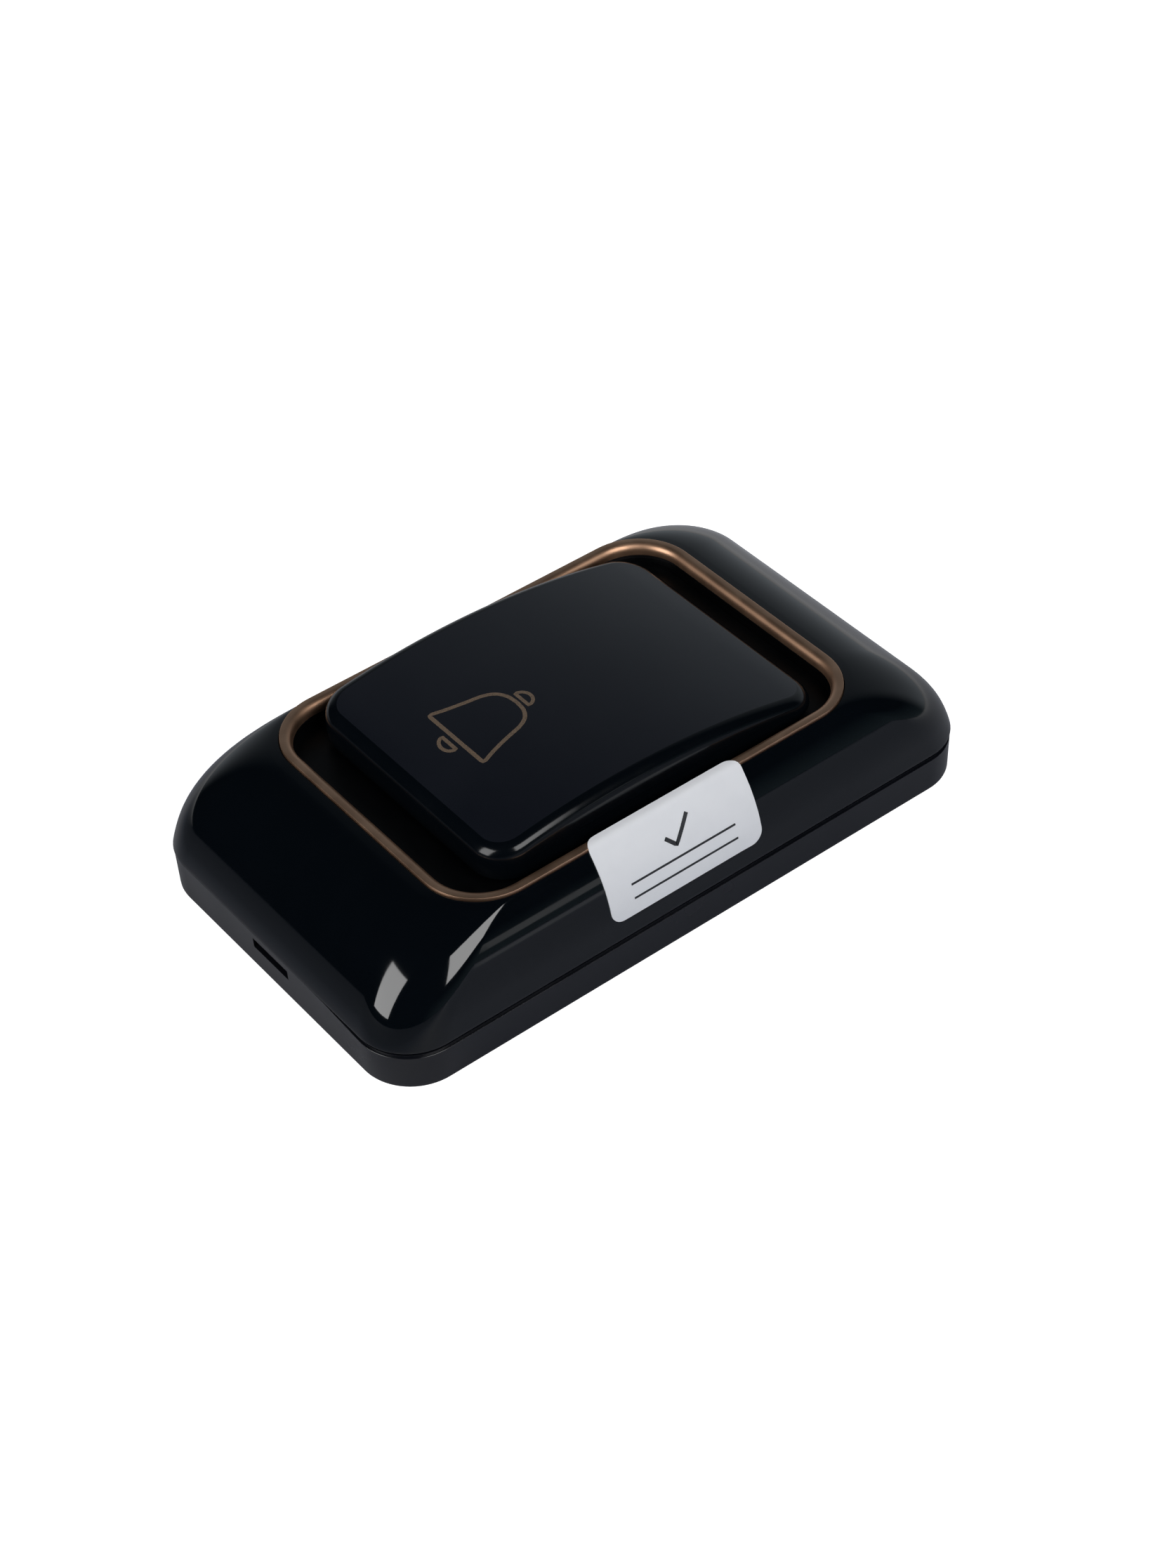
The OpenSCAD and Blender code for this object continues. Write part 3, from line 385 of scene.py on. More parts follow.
def makePaper(name, use):
    finish, tree, shader, place = startFinish(name, {
        "Roughness": use["rough"], "IOR": use["ior"], "Specular IOR Level": use["sheen"]})
    cloud = addNode(tree, "ShaderNodeTexNoise", {"Scale": perMetre(use["cloud"]), "Detail": 5},
                    {"Vector": place})
    tone = addNode(tree, "ShaderNodeMix", {
        "data_type": "RGBA", 6: colour(use["tone"]), 7: colour(use["cloudTone"])}, {0: cloud.outputs["Fac"]})
    fibre = addNode(tree, "ShaderNodeTexNoise", {
        "Scale": perMetre(use["fibre"]), "Detail": 3, "Distortion": 1.5}, {"Vector": place})
    bump = addNode(tree, "ShaderNodeBump", {
        "Strength": use["fibreStrength"], "Distance": use["fibreDepth"] * mm},
        {"Height": fibre.outputs["Fac"]})
    plug(tree, shader, {"Base Color": tone.outputs[2], "Normal": bump.outputs[0]})
    return finish


paperFinish = makePaper("coated label paper, die cut", labelPaper)

# black ink, printed: a flat dark grey film that lets a little of the paper through
labelInk = {**satinAbs, "tone": "#1d1e23", "light": "#2b2c32", "rough": 0.55, "polished": 0.45,
            "grain": 0.1, "cloud": 0.5}
printFinish = makeGrained("black ink, plate printed", labelInk)
print("finishes made for the outside")


# mesh helpers: outlines and skins in mm
sideSteps = (0.006, 0.03, 0.15, 0.35, 0.5, 0.65, 0.85, 0.97, 0.994)  # points along each straight run
cornerSteps = 18
sharpAngle = 32  # degrees; sharper folds keep a crisp edge
quarters = [(sx, sy) for sx in (-1, 1) for sy in (-1, 1)]


def roundedLoop(a, b, r, z, runs=sideSteps):
    # rectangle of half sizes a and b with round corners
    corners = ((1, 1), (-1, 1), (-1, -1), (1, -1))
    loop = []
    for k, (sx, sy) in enumerate(corners):
        for i in range(cornerSteps + 1):
            t = math.radians(90 * (k + i / cornerSteps))
            loop.append((sx * (a - r) + r * math.cos(t), sy * (b - r) + r * math.sin(t), z))
        x0, y0 = loop[-1][:2]
        sx, sy = corners[(k + 1) % len(corners)]
        x1, y1 = sx * (a - r) + r * math.cos(t), sy * (b - r) + r * math.sin(t)
        loop.extend((x0 + (x1 - x0) * s, y0 + (y1 - y0) * s, z) for s in runs)
    return loop


def skin(rings, closed=False, caps=False):
    # faces between rings of equally many points
    n, m = len(rings[0]), len(rings)
    points = [p for ring in rings for p in ring]
    faces = []
    for j in range(m if closed else m - 1):
        p, q = j * n, ((j + 1) % m) * n
        faces.extend((p + i, p + (i + 1) % n, q + (i + 1) % n, q + i) for i in range(n))
    if caps:
        faces.append(tuple(reversed(range(n))))
        faces.append(tuple((m - 1) * n + i for i in range(n)))
    return points, faces


def merge(parts):
    points, faces = [], []
    for somePoints, someFaces in parts:
        first = len(points)
        points.extend(somePoints)
        faces.extend(tuple(first + i for i in f) for f in someFaces)
    return points, faces


def makeMesh(name, form):
    mesh = bpy.data.meshes.new(name)
    mesh.from_pydata([(x * mm, y * mm, z * mm) for x, y, z in form[0]], [], form[1])
    bm = bmesh.new()
    bm.from_mesh(mesh)
    bmesh.ops.recalc_face_normals(bm, faces=bm.faces)
    bm.to_mesh(mesh)
    bm.free()
    return mesh


def addPiece(name, form, body, finish, sharp=sharpAngle):
    obj = bpy.data.objects.new(name, makeMesh(name, form))
    scene.collection.objects.link(obj)
    dress(obj, finish, sharp)
    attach(obj, body)
    return obj


def dress(obj, finish, sharp):
    obj.data.materials.clear()
    obj.data.materials.append(finish)
    obj.data.shade_smooth()
    obj.data.set_sharp_from_angle(angle=math.radians(sharp))


def carve(obj, cuts, joins=()):
    tools = []
    for operation, forms in (("UNION", joins), ("DIFFERENCE", cuts)):
        for form in forms:
            tool = bpy.data.objects.new("tool", makeMesh("tool", form))
            scene.collection.objects.link(tool)
            change = obj.modifiers.new("carve", "BOOLEAN")
            change.operation, change.solver, change.object = operation, "EXACT", tool
            tools.append(tool)
    bpy.context.view_layer.update()
    done = bpy.data.meshes.new_from_object(obj.evaluated_get(bpy.context.evaluated_depsgraph_get()))
    obj.modifiers.clear()
    obj.data = done
    for tool in tools:
        bpy.data.objects.remove(tool)


def alongAxis(axis, h, u, v):
    return {"x": (h, u, v), "y": (v, h, u), "z": (u, v, h)}[axis]


def turned(profile, place, axis="z", count=40):
    # profile of (radius, height) pairs spun round an axis through place
    turns = [2 * math.pi * i / count for i in range(count)]
    rings = []
    for r, h in profile:
        offsets = [alongAxis(axis, h, r * math.cos(t), r * math.sin(t)) for t in turns]
        rings.append([tuple(place[k] + offset[k] for k in range(3)) for offset in offsets])
    return skin(rings, caps=True)


def prism(outline, start, length, axis="x"):
    # outline of pairs, (y, z) along x, (z, x) along y or (x, y) along z
    return skin([[alongAxis(axis, h, u, v) for u, v in outline] for h in (start, start + length)], caps=True)


def block(x0, x1, y0, y1, z0, z1):
    return prism([(y0, z0), (y1, z0), (y1, z1), (y0, z1)], x0, x1 - x0)


def smoothPath(points, steps):
    # smooth curve through the points
    last = len(points) - 1
    out = []
    for i in range(last):
        p = [points[min(max(i + k, 0), last)] for k in (-1, 0, 1, 2)]
        for t in (s / steps for s in range(steps)):
            out.append(tuple(
                0.5 * (2 * p[1][c] + (p[2][c] - p[0][c]) * t
                       + (2 * p[0][c] - 5 * p[1][c] + 4 * p[2][c] - p[3][c]) * t * t
                       + (3 * p[1][c] - p[0][c] - 3 * p[2][c] + p[3][c]) * t ** 3) for c in range(len(p[0]))))
    return out + [tuple(points[-1])]


# front cover: straight sides with a little draft, arched shoulders and ends, a seat for the ring
cover = {
    "halfWide": 25, "halfLong": 43, "seam": 5.5, "crown": 17, "corner": 7, "wall": 1.6,
    "curveStart": 8.2, "draft": 0.2, "endCentre": 2.4,
    "ringWide": 20.1, "ringLong": 28.8, "ringCorner": 7, "bead": 0.75, "ringProud": 0.35, "fit": 0.1,
    "ledgeDrop": 0.8, "ledge": 1.4, "ringLeg": 0.7, "legDrop": 0.3,
    "rim": 0.16, "rimSteps": 4, "arris": 0.1, "arrisShape": ((0.035, 0.018), (0.012, 0.03), (0, 0.07)),
    "levels": 56, "innerLevels": 8,
}
crown = [cover[k] + cover["bead"] + cover["fit"] for k in ("ringWide", "ringLong", "ringCorner")]
crownWide, crownLong, crownCorner = crown
ledgeZ = cover["crown"] - cover["ledgeDrop"]
innerZ = ledgeZ - cover["ledge"]
opening = cover["ringLeg"] - cover["bead"] + cover["fit"]

lean = math.atan(cover["draft"] / (cover["curveStart"] - cover["seam"]))
sideIn = cover["halfWide"] - cover["draft"] - crownWide
sideUp = cover["crown"] - cover["curveStart"]
sideR = (sideIn ** 2 + sideUp ** 2) / (2 * (sideIn * math.cos(lean) - sideUp * math.sin(lean)))
sideX = cover["halfWide"] - cover["draft"] - sideR * math.cos(lean)
sideZ = cover["curveStart"] - sideR * math.sin(lean)
endLow, endHigh = cover["seam"] - cover["endCentre"], cover["crown"] - cover["endCentre"]
endY = ((cover["halfLong"] ** 2 - crownLong ** 2 + endLow ** 2 - endHigh ** 2)
        / (2 * (cover["halfLong"] - crownLong)))
endR = math.hypot(cover["halfLong"] - endY, endLow)


def coverHalfWide(z, off=0):
    if z < cover["curveStart"]:
        drawIn = cover["draft"] * (z - cover["seam"]) / (cover["curveStart"] - cover["seam"])
        return cover["halfWide"] - drawIn - off
    return sideX + math.sqrt((sideR - off) ** 2 - (z - sideZ) ** 2)


def coverHalfLong(z, off=0):
    return endY + math.sqrt((endR - off) ** 2 - (z - cover["endCentre"]) ** 2)


def coverCorner(z, off=0):
    rise = (z - cover["seam"]) / (cover["crown"] - cover["seam"])
    return cover["corner"] + (crownCorner - cover["corner"]) * rise - off


def coverLevel(z, off=0, lift=0):
    return roundedLoop(coverHalfWide(z, off), coverHalfLong(z, off), coverCorner(z, off), z + lift)


def makeCover():
    rings = []
    rim, arris = cover["rim"], cover["arris"]
    for i in range(cover["rimSteps"] + 1):  # rounded lower rim
        t = math.pi / 2 * i / cover["rimSteps"]
        rings.append(coverLevel(cover["seam"] + rim * (1 - math.cos(t)), rim * (1 - math.sin(t))))
    t0 = math.asin((cover["seam"] + rim - cover["endCentre"]) / endR)
    t1 = math.asin((cover["crown"] - arris - cover["endCentre"]) / endR)
    for i in range(1, cover["levels"] + 1):
        rings.append(coverLevel(cover["endCentre"] + endR * math.sin(t0 + (t1 - t0) * i / cover["levels"])))
    for out, drop in cover["arrisShape"]:  # soft arris at the ring seat
        rings.append(roundedLoop(*(v + out for v in crown), cover["crown"] - drop))
    rings.append(roundedLoop(*crown, ledgeZ))
    seat = [cover[k] + opening for k in ("ringWide", "ringLong", "ringCorner")]
    rings.append(roundedLoop(*seat, ledgeZ))
    rings.append(roundedLoop(*seat, innerZ))
    for i in range(cover["innerLevels"] + 1):
        rings.append(coverLevel(innerZ + (cover["seam"] - innerZ) * i / cover["innerLevels"], cover["wall"]))
    return skin(rings, closed=True)


frontCover = addPiece("frontCover", makeCover(), "front", coverFinish)
frontCover.data.materials.append(innerFinish)
outerRings = cover["rimSteps"] + 1 + cover["levels"] + len(cover["arrisShape"])  # what follows is inside
for face in frontCover.data.polygons:
    face.material_index = int(face.index >= outerRings * len(coverLevel(cover["seam"])))
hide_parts("front_cover")

# pins of the cover melted over under the well, and the beads that snap into the base
pins = {
    "x": 13.1, "clear": 0.25, "inward": 2.2, "count": 28,
    "shape": ((1, 15), (1, 12.7), (1.7, 12.65), (1.7, 12.35), (1.55, 12.1), (1.25, 11.95), (0.5, 11.9),
              (0.2, 11.94)),
    "beadY": 18, "beadZ": 6.5, "beadLong": 6, "beadR": 0.5, "beadIn": 0.2, "beadTaper": (0.25, 0.3),
    "beadCount": 24,
}
pinY = coverHalfLong(innerZ, cover["wall"]) - pins["clear"] - pins["inward"]


def makePins():
    half, r = pins["beadLong"] / 2, pins["beadR"]
    small, full = r - pins["beadTaper"][0], half - pins["beadTaper"][1]
    bead = ((small, -half), (r, -full), (r, full), (small, half))
    beadX = coverHalfWide(pins["beadZ"], cover["wall"]) + r - pins["beadIn"]
    parts = []
    for sx, sy in quarters:
        parts.append(turned(pins["shape"], (sx * pins["x"], sy * pinY, 0), count=pins["count"]))
        parts.append(turned(bead, (sx * beadX, sy * pins["beadY"], pins["beadZ"]), "y", pins["beadCount"]))
    return merge(parts)


addPiece("coverPins", makePins(), "front", coverFinish)
print("front cover made")

# trim ring: a thin frame, crisp outside and rolled over inside, with a leg into the opening;
# its top is drawn in parts of the bead, outward and down
trim = {"steps": 4, "shape": ((1, 0.3), (0.97, 0.1), (0.9, 0.02), (0.3, 0), (-0.15, 0.07), (-0.55, 0.3),
                              (-0.85, 0.7), (-0.97, 1.1))}
ringTop = cover["crown"] + cover["ringProud"]


def makeRing():
    b, leg, foot = cover["bead"], cover["ringLeg"] - cover["bead"], ledgeZ - cover["legDrop"]
    bead = smoothPath([(b * out, ringTop - b * drop) for out, drop in trim["shape"]], trim["steps"])
    profile = [(b, ledgeZ), *bead, (-b, foot), (leg, foot), (leg, ledgeZ)]
    return skin([roundedLoop(cover["ringWide"] + o, cover["ringLong"] + o, cover["ringCorner"] + o, z)
                 for o, z in profile], closed=True)


trimRing = addPiece("trimRing", makeRing(), "front", ringFinish, sharp=40)
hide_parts("trim_ring")
print("trim ring made")

# button: a long paddle arched along its length, with a rolled top edge
button = {
    "halfWide": 18, "halfLong": 24.1, "shift": 0.8, "corner": 4.4, "leastCorner": 0.4, "edge": 1.5,
    "wall": 1.6, "low": 15.3674, "foot": 0.2, "footMid": 0.3, "top": 21.17, "crestY": -4.5, "archR": 100,
    "cornerSteps": 14, "rows": 44, "skirtRings": 5, "edgeSteps": 10,
}


def crest(y):
    return button["top"] - button["archR"] + math.sqrt(button["archR"] ** 2 - (y - button["crestY"]) ** 2)


def buttonRing(inset, drop, flatZ=None):
    a, b = button["halfWide"] - inset, button["halfLong"] - inset
    r = max(button["corner"] - inset, button["leastCorner"])
    n, rows = button["cornerSteps"], button["rows"]
    turns = [math.pi / 2 * i / n for i in range(n + 1)]
    half = [(a - r + r * math.sin(t), r - b - r * math.cos(t)) for t in turns]
    half += [(a, (b - r) * (2 * i / rows - 1)) for i in range(1, rows)]
    half += [(a - r + r * math.cos(t), b - r + r * math.sin(t)) for t in turns]
    half = [(x, y + button["shift"]) for x, y in half]
    ring = half + [(-x, y) for x, y in reversed(half)]
    return [(x, y, crest(y) - drop if flatZ is None else flatZ) for x, y in ring]


def makeButton():
    wall, edge, low, foot = (button[k] for k in ("wall", "edge", "low", "foot"))
    mid = foot * button["footMid"]
    rings = [buttonRing(wall, wall), buttonRing(wall, 0, low), buttonRing(foot, 0, low),
             buttonRing(mid, 0, low + mid), buttonRing(0, 0, low + foot)]
    for i in range(button["edgeSteps"] + 1):
        t = math.pi / 2 * i / button["edgeSteps"]
        rings.append(buttonRing(edge * (1 - math.cos(t)), edge * (1 - math.sin(t))))
    points, faces = skin(rings)
    n = len(rings[0])
    last = (len(rings) - 1) * n
    for i in range(n // 2 - 1):  # strips from side to side close the top and the roof inside
        k = n - 1 - i
        faces.append((last + i, last + i + 1, last + k - 1, last + k))
        faces.append((i, k, k - 1, i + 1))
    return points, faces


# painted sheen: the satin top is greyer than the polished sides partly for light falling on it from above
buttonCap = addPiece("buttonCap", makeButton(), "button", buttonFinish)
buttonCap.data.materials.append(sideFinish)
sideBands = button["skirtRings"] + button["edgeSteps"]  # these are polished, only the top is satin
for face in buttonCap.data.polygons:
    face.material_index = int(face.index < sideBands * len(buttonRing(0, 0)))
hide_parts("button_cap")

# under the button: press post, two ribs, hinge lugs with trunnions, and stop hooks
under = {
    "sink": 0.2, "pressY": -10, "postR": 2, "postLow": 12.5387, "postEdge": 0.25, "postFlare": (0.5, 0.6),
    "ribX": 6, "ribWide": 1, "ribEnds": (4, 5), "ribRise": (1, 0.4), "ribSteps": 12,
    "hingeY": 20.5, "hingeZ": 14.9, "lugX": 10.75, "lugWide": 1.9, "lugR": 1.2, "lugSteps": 16,
    "trunnionR": 0.75, "trunnionLong": 3.35, "trunnionEdge": 0.2, "trunnionCount": 28,
    "hookX": 11, "hookY": -20.5, "hookWide": 3, "hookThick": 1.2, "hookTop": 12.55, "hookDrop": 1.25,
    "barb": 0.8, "barbHigh": 0.35,
}


def makeUnderside():
    def roof(y):
        return crest(y) - button["wall"] + under["sink"]

    def across(outline, name):
        return prism(outline, side * under[name + "X"] - under[name + "Wide"] / 2, under[name + "Wide"])

    pressY, r, low, edge = (under[k] for k in ("pressY", "postR", "postLow", "postEdge"))
    wider, down = under["postFlare"]
    post = [(r - edge, low), (r, low + edge), (r, roof(pressY) - down), (r + wider, roof(pressY))]

    y0, y1 = under["hookY"] + under["ribEnds"][0], under["hingeY"] - under["ribEnds"][1]
    n = under["ribSteps"]
    rib = [(y, button["low"] + rise) for y, rise in zip((y0, y1), under["ribRise"])]
    rib += [(y, roof(y)) for y in (y1 + (y0 - y1) * i / n for i in range(n + 1))]

    hy, hz, r, n = under["hingeY"], under["hingeZ"], under["lugR"], under["lugSteps"]
    lug = [(hy + r * math.cos(t), hz + r * math.sin(t))
           for t in (math.pi * (1 + i / n) for i in range(n + 1))]
    lug += [(hy + r, roof(hy - r)), (hy - r, roof(hy - r))]

    back, front = (under["hookY"] + s * under["hookThick"] / 2 for s in (1, -1))
    top, foot, tip = under["hookTop"], under["hookTop"] - under["hookDrop"], front - under["barb"]
    root = roof(under["hookY"])
    hook = [(back, foot), (back, root), (front, root), (front, top), (tip, top),
            (tip, top - under["barbHigh"]), (front, foot)]

    parts = [turned(post, (0, pressY, 0))]
    r, edge = under["trunnionR"], under["trunnionEdge"]
    for side in (-1, 1):
        start, stop = side * under["lugX"], side * (under["lugX"] + under["trunnionLong"])
        pin = [(r, start), (r, stop - side * edge), (r - edge, stop)]
        trunnion = turned(pin, (0, hy, hz), "x", under["trunnionCount"])
        parts += [across(rib, "rib"), across(lug, "lug"), trunnion, across(hook, "hook")]
    return merge(parts)


addPiece("buttonUnderside", makeUnderside(), "button", buttonFinish)
print("button made")

# bell sign printed on the pressed end: an outline with a loop above and a clapper below
bell = {
    "axis": -0.5, "baseY": -14.87, "stroke": 0.5, "smallStroke": 0.45, "film": 0.025, "sink": 0.02,
    "halfOutline": [(4.58, 2.2), (3.97, 4.54), (3.52, 6.5), (2.75, 7.85), (1.5, 8.6), (0, 8.8)], "steps": 6,
    "tip": (5.25, 0), "tipRound": 0.35, "tipIn": 0.05, "tipTurn": (0.35, 0.12),
    "footParts": (-0.6, -0.2, 0.2, 0.6),
    "loop": {"half": 1.32, "foot": 9.55, "top": 10.8}, "clapper": {"half": 1.36, "foot": -0.95, "top": -2.05},
    "archSteps": 20,
}


def ribbon(path, width, lay, loop=True):
    # flat band of ink film along a path; lay gives the place on the surface for a lift over it
    n = len(path)
    sections = []
    for i, (u, v) in enumerate(path):
        au, av = path[i - 1] if loop or i else path[i]
        bu, bv = path[(i + 1) % n] if loop or i < n - 1 else path[i]
        length = math.hypot(bu - au, bv - av)
        nu, nv = (av - bv) / length * width / 2, (bu - au) / length * width / 2
        sections.append([lay(u + side * nu, v + side * nv, lift) for side, lift in (
            (-1, -bell["sink"]), (-1, bell["film"]), (1, bell["film"]), (1, -bell["sink"]))])
    return skin(sections, closed=loop, caps=not loop)


def onButton(x, y, lift):
    return (x, y, crest(y) + lift)


def makeBell():
    def line(path, stroke):
        return ribbon([(bell["axis"] + x, bell["baseY"] + y) for x, y in path], stroke, onButton)

    (tx, ty), r = bell["tip"], bell["tipRound"]
    right = smoothPath([(tx - bell["tipIn"], ty + r)] + bell["halfOutline"], bell["steps"])
    foot = [((tx - r) * s, ty) for s in (-1, *bell["footParts"], 1)]
    turn = [(tx - r * bell["tipTurn"][0], ty + r * bell["tipTurn"][1])]
    outline = foot + turn + right[:-1] + [(-x, y) for x, y in reversed(right)] + [(-x, y) for x, y in turn]
    forms = [line(outline, bell["stroke"])]
    turns = [math.pi * i / bell["archSteps"] for i in range(bell["archSteps"] + 1)]
    for small in (bell["loop"], bell["clapper"]):
        half, low, tall = small["half"], small["foot"], small["top"] - small["foot"]
        path = [(half * math.cos(t), low + tall * math.sin(t)) for t in turns]
        path += [(half * s, low) for s in bell["footParts"]]
        forms.append(line(path if tall > 0 else path[::-1], bell["smallStroke"]))
    return merge(forms)


addPiece("bellSign", makeBell(), "button", inkFinish, sharp=50)
print("bell sign printed")

# paper sticker from the top of the ring over the shoulder, round corners, one corner just lifting
sticker = {
    "long": 22, "below": 9.7, "leave": 1.2, "over": 0.55, "middleY": -1.7, "thick": 0.12, "off": 0.03,
    "corner": 1.7, "fold": 0.9, "foldLift": 0.02, "bend": 0.45, "lift": 1, "liftFrom": 0.72,
    "liftBelow": 0.35, "arcSteps": 30, "bendSteps": 8, "cornerSteps": 8, "columns": 28, "apart": 0.05,
}


def stickerPath():
    # inner face from the lower edge up: along the shoulder, over the step, flat on the ring
    crownTurn = math.asin((cover["crown"] - sideZ) / sideR)
    low, high = crownTurn - sticker["below"] / sideR, crownTurn - sticker["leave"] / sideR
    r, n = sideR + sticker["off"], sticker["arcSteps"]
    path = [(sideX + r * math.cos(t), sideZ + r * math.sin(t))
            for t in (low + (high - low) * i / n for i in range(n + 1))]
    b, up, n = cover["bead"], ringTop + sticker["off"], sticker["bendSteps"]
    fold = Vector((cover["ringWide"] + b * sticker["fold"], up + sticker["foldLift"]))
    end = Vector((cover["ringWide"] - b * sticker["over"], up))
    start = fold + (Vector(path[-1]) - fold).normalized() * sticker["bend"]
    stop = fold + (end - fold).normalized() * sticker["bend"]
    path += [tuple(start * (1 - s) ** 2 + fold * 2 * s * (1 - s) + stop * s ** 2)
             for s in (i / n for i in range(n + 1))]
    return path + [tuple(stop.lerp(end, 0.5)), tuple(end)]


sheetPath = stickerPath()
sheetLengths = [0]
for (ax, az), (bx, bz) in zip(sheetPath, sheetPath[1:]):
    sheetLengths.append(sheetLengths[-1] + math.hypot(bx - ax, bz - az))


def onSheet(y, up, off):
    # place on the sticker, up mm from its lower edge along the paper and off mm out of it
    k = next((i for i in range(1, len(sheetLengths) - 1) if sheetLengths[i] > up), len(sheetLengths) - 1)
    s = (up - sheetLengths[k - 1]) / (sheetLengths[k] - sheetLengths[k - 1])
    (ax, az), (bx, bz) = sheetPath[k - 1], sheetPath[k]

    def outward(i):
        (px, pz), (qx, qz) = sheetPath[max(i - 1, 0)], sheetPath[min(i + 1, len(sheetPath) - 1)]
        return Vector((qz - pz, px - qx)).normalized()

    way = outward(k - 1).lerp(outward(k), s).normalized()
    return (ax + (bx - ax) * s + way.x * off, sticker["middleY"] + y, az + (bz - az) * s + way.y * off)


def makeSticker():
    tall, corner = sheetLengths[-1], sticker["corner"]
    n, margin = sticker["cornerSteps"], corner + sticker["apart"]
    rounding = [corner * (1 - math.cos(math.pi / 2 * i / n)) for i in range(n + 1)]
    between = [v for v in sheetLengths if margin < v < tall - margin]
    ups = rounding + between + [tall - u for u in reversed(rounding)]
    sheets = []
    for layer in (0, 1):
        rows = []
        for up in ups:
            near = min(up, tall - up)
            half = sticker["long"] / 2
            if near < corner:
                half -= corner - math.sqrt(max(corner ** 2 - (corner - near) ** 2, 0))
            row = []
            for i in range(sticker["columns"] + 1):
                y = half * (2 * i / sticker["columns"] - 1)
                curl = max(0, y / sticker["long"] * 2 - sticker["liftFrom"])
                curl *= max(0, sticker["liftBelow"] - up / tall)
                row.append(onSheet(y, up, layer * sticker["thick"] + curl * sticker["lift"]))
            rows.append(row)
        sheets.append(rows)
    low, high = sheets
    m, n = len(low), len(low[0])
    points = [p for sheet in sheets for row in sheet for p in row]
    faces = []
    for j in range(m - 1):
        for i in range(n - 1):
            p = j * n + i
            faces.append((p, p + n, p + n + 1, p + 1))
            q = p + m * n
            faces.append((q, q + 1, q + n + 1, q + n))
    border = [*range(n), *range(2 * n - 1, m * n, n), *range(m * n - 2, (m - 1) * n - 1, -1),
              *range((m - 2) * n, 0, -n)]
    for a, b in zip(border, border[1:] + border[:1]):
        faces.append((a, b, b + m * n, a + m * n))
    return points, faces


paperSticker = addPiece("paperSticker", makeSticker(), "front", paperFinish, sharp=50)
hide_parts("sticker")

# plain inspection print: a tick over two ruled lines, in mm from the middle and the lower edge
inspection = {"tick": ((-1.7, 6.7), (-0.5, 5.4), (2.1, 8.2)), "tickStroke": 0.5,
              "rules": (3.9, 2.1), "ruleHalf": 7.6, "ruleStroke": 0.26, "points": 8}


def onPaper(y, up, lift):
    return onSheet(y, up, sticker["thick"] + lift)


def makePrint():
    def stroke(corners, width):
        n = inspection["points"]
        path = [tuple(Vector(a).lerp(Vector(b), i / n))
                for a, b in zip(corners, corners[1:]) for i in range(n)]
        return ribbon(path + [corners[-1]], width, onPaper, loop=False)

    half = inspection["ruleHalf"]
    rules = [stroke(((-half, up), (half, up)), inspection["ruleStroke"]) for up in inspection["rules"]]
    return merge([stroke(inspection["tick"], inspection["tickStroke"]), *rules])


addPiece("stickerPrint", makePrint(), "front", printFinish, sharp=50)
print("sticker made")

# base plate: matt wall plate with a lip, snap windows, screw pads, ribs, saddles and a prising slot
base = {
    "step": 0.1, "draft": 0.1, "gap": 0.55, "floor": 1.8, "edge": 0.07, "edgeSteps": 4, "rebate": 0.25,
    "leastCorner": 0.5, "count": 48,
    "footHigh": 0.2, "footIn": 0.1, "footShape": ((1, 0), (0.35, 0.35), (0.08, 0.75)),
    "wallFrom": 0.4, "wallSteps": 4, "rimRise": 0.72, "ledgeRise": 0.5, "riseX": (19, 8), "riseY": (35, 41),
    "lipHigh": 2, "lipThick": 1, "lipGap": 0.3, "lipOuter": (0.2, 0.06), "lipInner": 0.15,
    "fillet": (0.4, 0.12),
    "holeY": 27, "holeR": 2.2, "holeSpan": (-1, 4), "padR": 4.5, "padHigh": 0.8, "padEdge": 0.2,
    "ribX": 9, "ribWide": 1.2, "ribHigh": 1.2, "ribLong": 43, "ribEdge": ((0.1, 0.05), (0, 0.2)), "sink": 0.2,
    "slotWide": 7, "slotHigh": 1.4, "slotLow": 3.1, "slotPast": (1, 0.2),
    "windowY": 18, "windowZ": 6.5, "windowHalf": (0.7, 4, 0.6),
    "cellX": -15.702, "cellZ": 7.25, "cellR": 5.15, "cellLong": 28.5, "saddleWide": 1.6, "saddleHigh": 1.6,
    "slip": 0.25, "cupPart": 0.86, "cupSteps": 20, "trough": 0.45, "troughMore": 2.3, "troughCount": 96,
    "runs": (0.006, 0.03, 0.12, 0.2, 0.3, 0.4, 0.5, 0.6, 0.7, 0.8, 0.88, 0.97, 0.994),
}
baseTop = cover["seam"] - base["gap"]
rimTop = baseTop - base["rebate"]
lipTop = cover["seam"] + base["lipHigh"]
lip = [f(lipTop, cover["wall"]) - base["lipGap"] for f in (coverHalfWide, coverHalfLong, coverCorner)]
rim = [cover[k] - base["step"] for k in ("halfWide", "halfLong", "corner")]


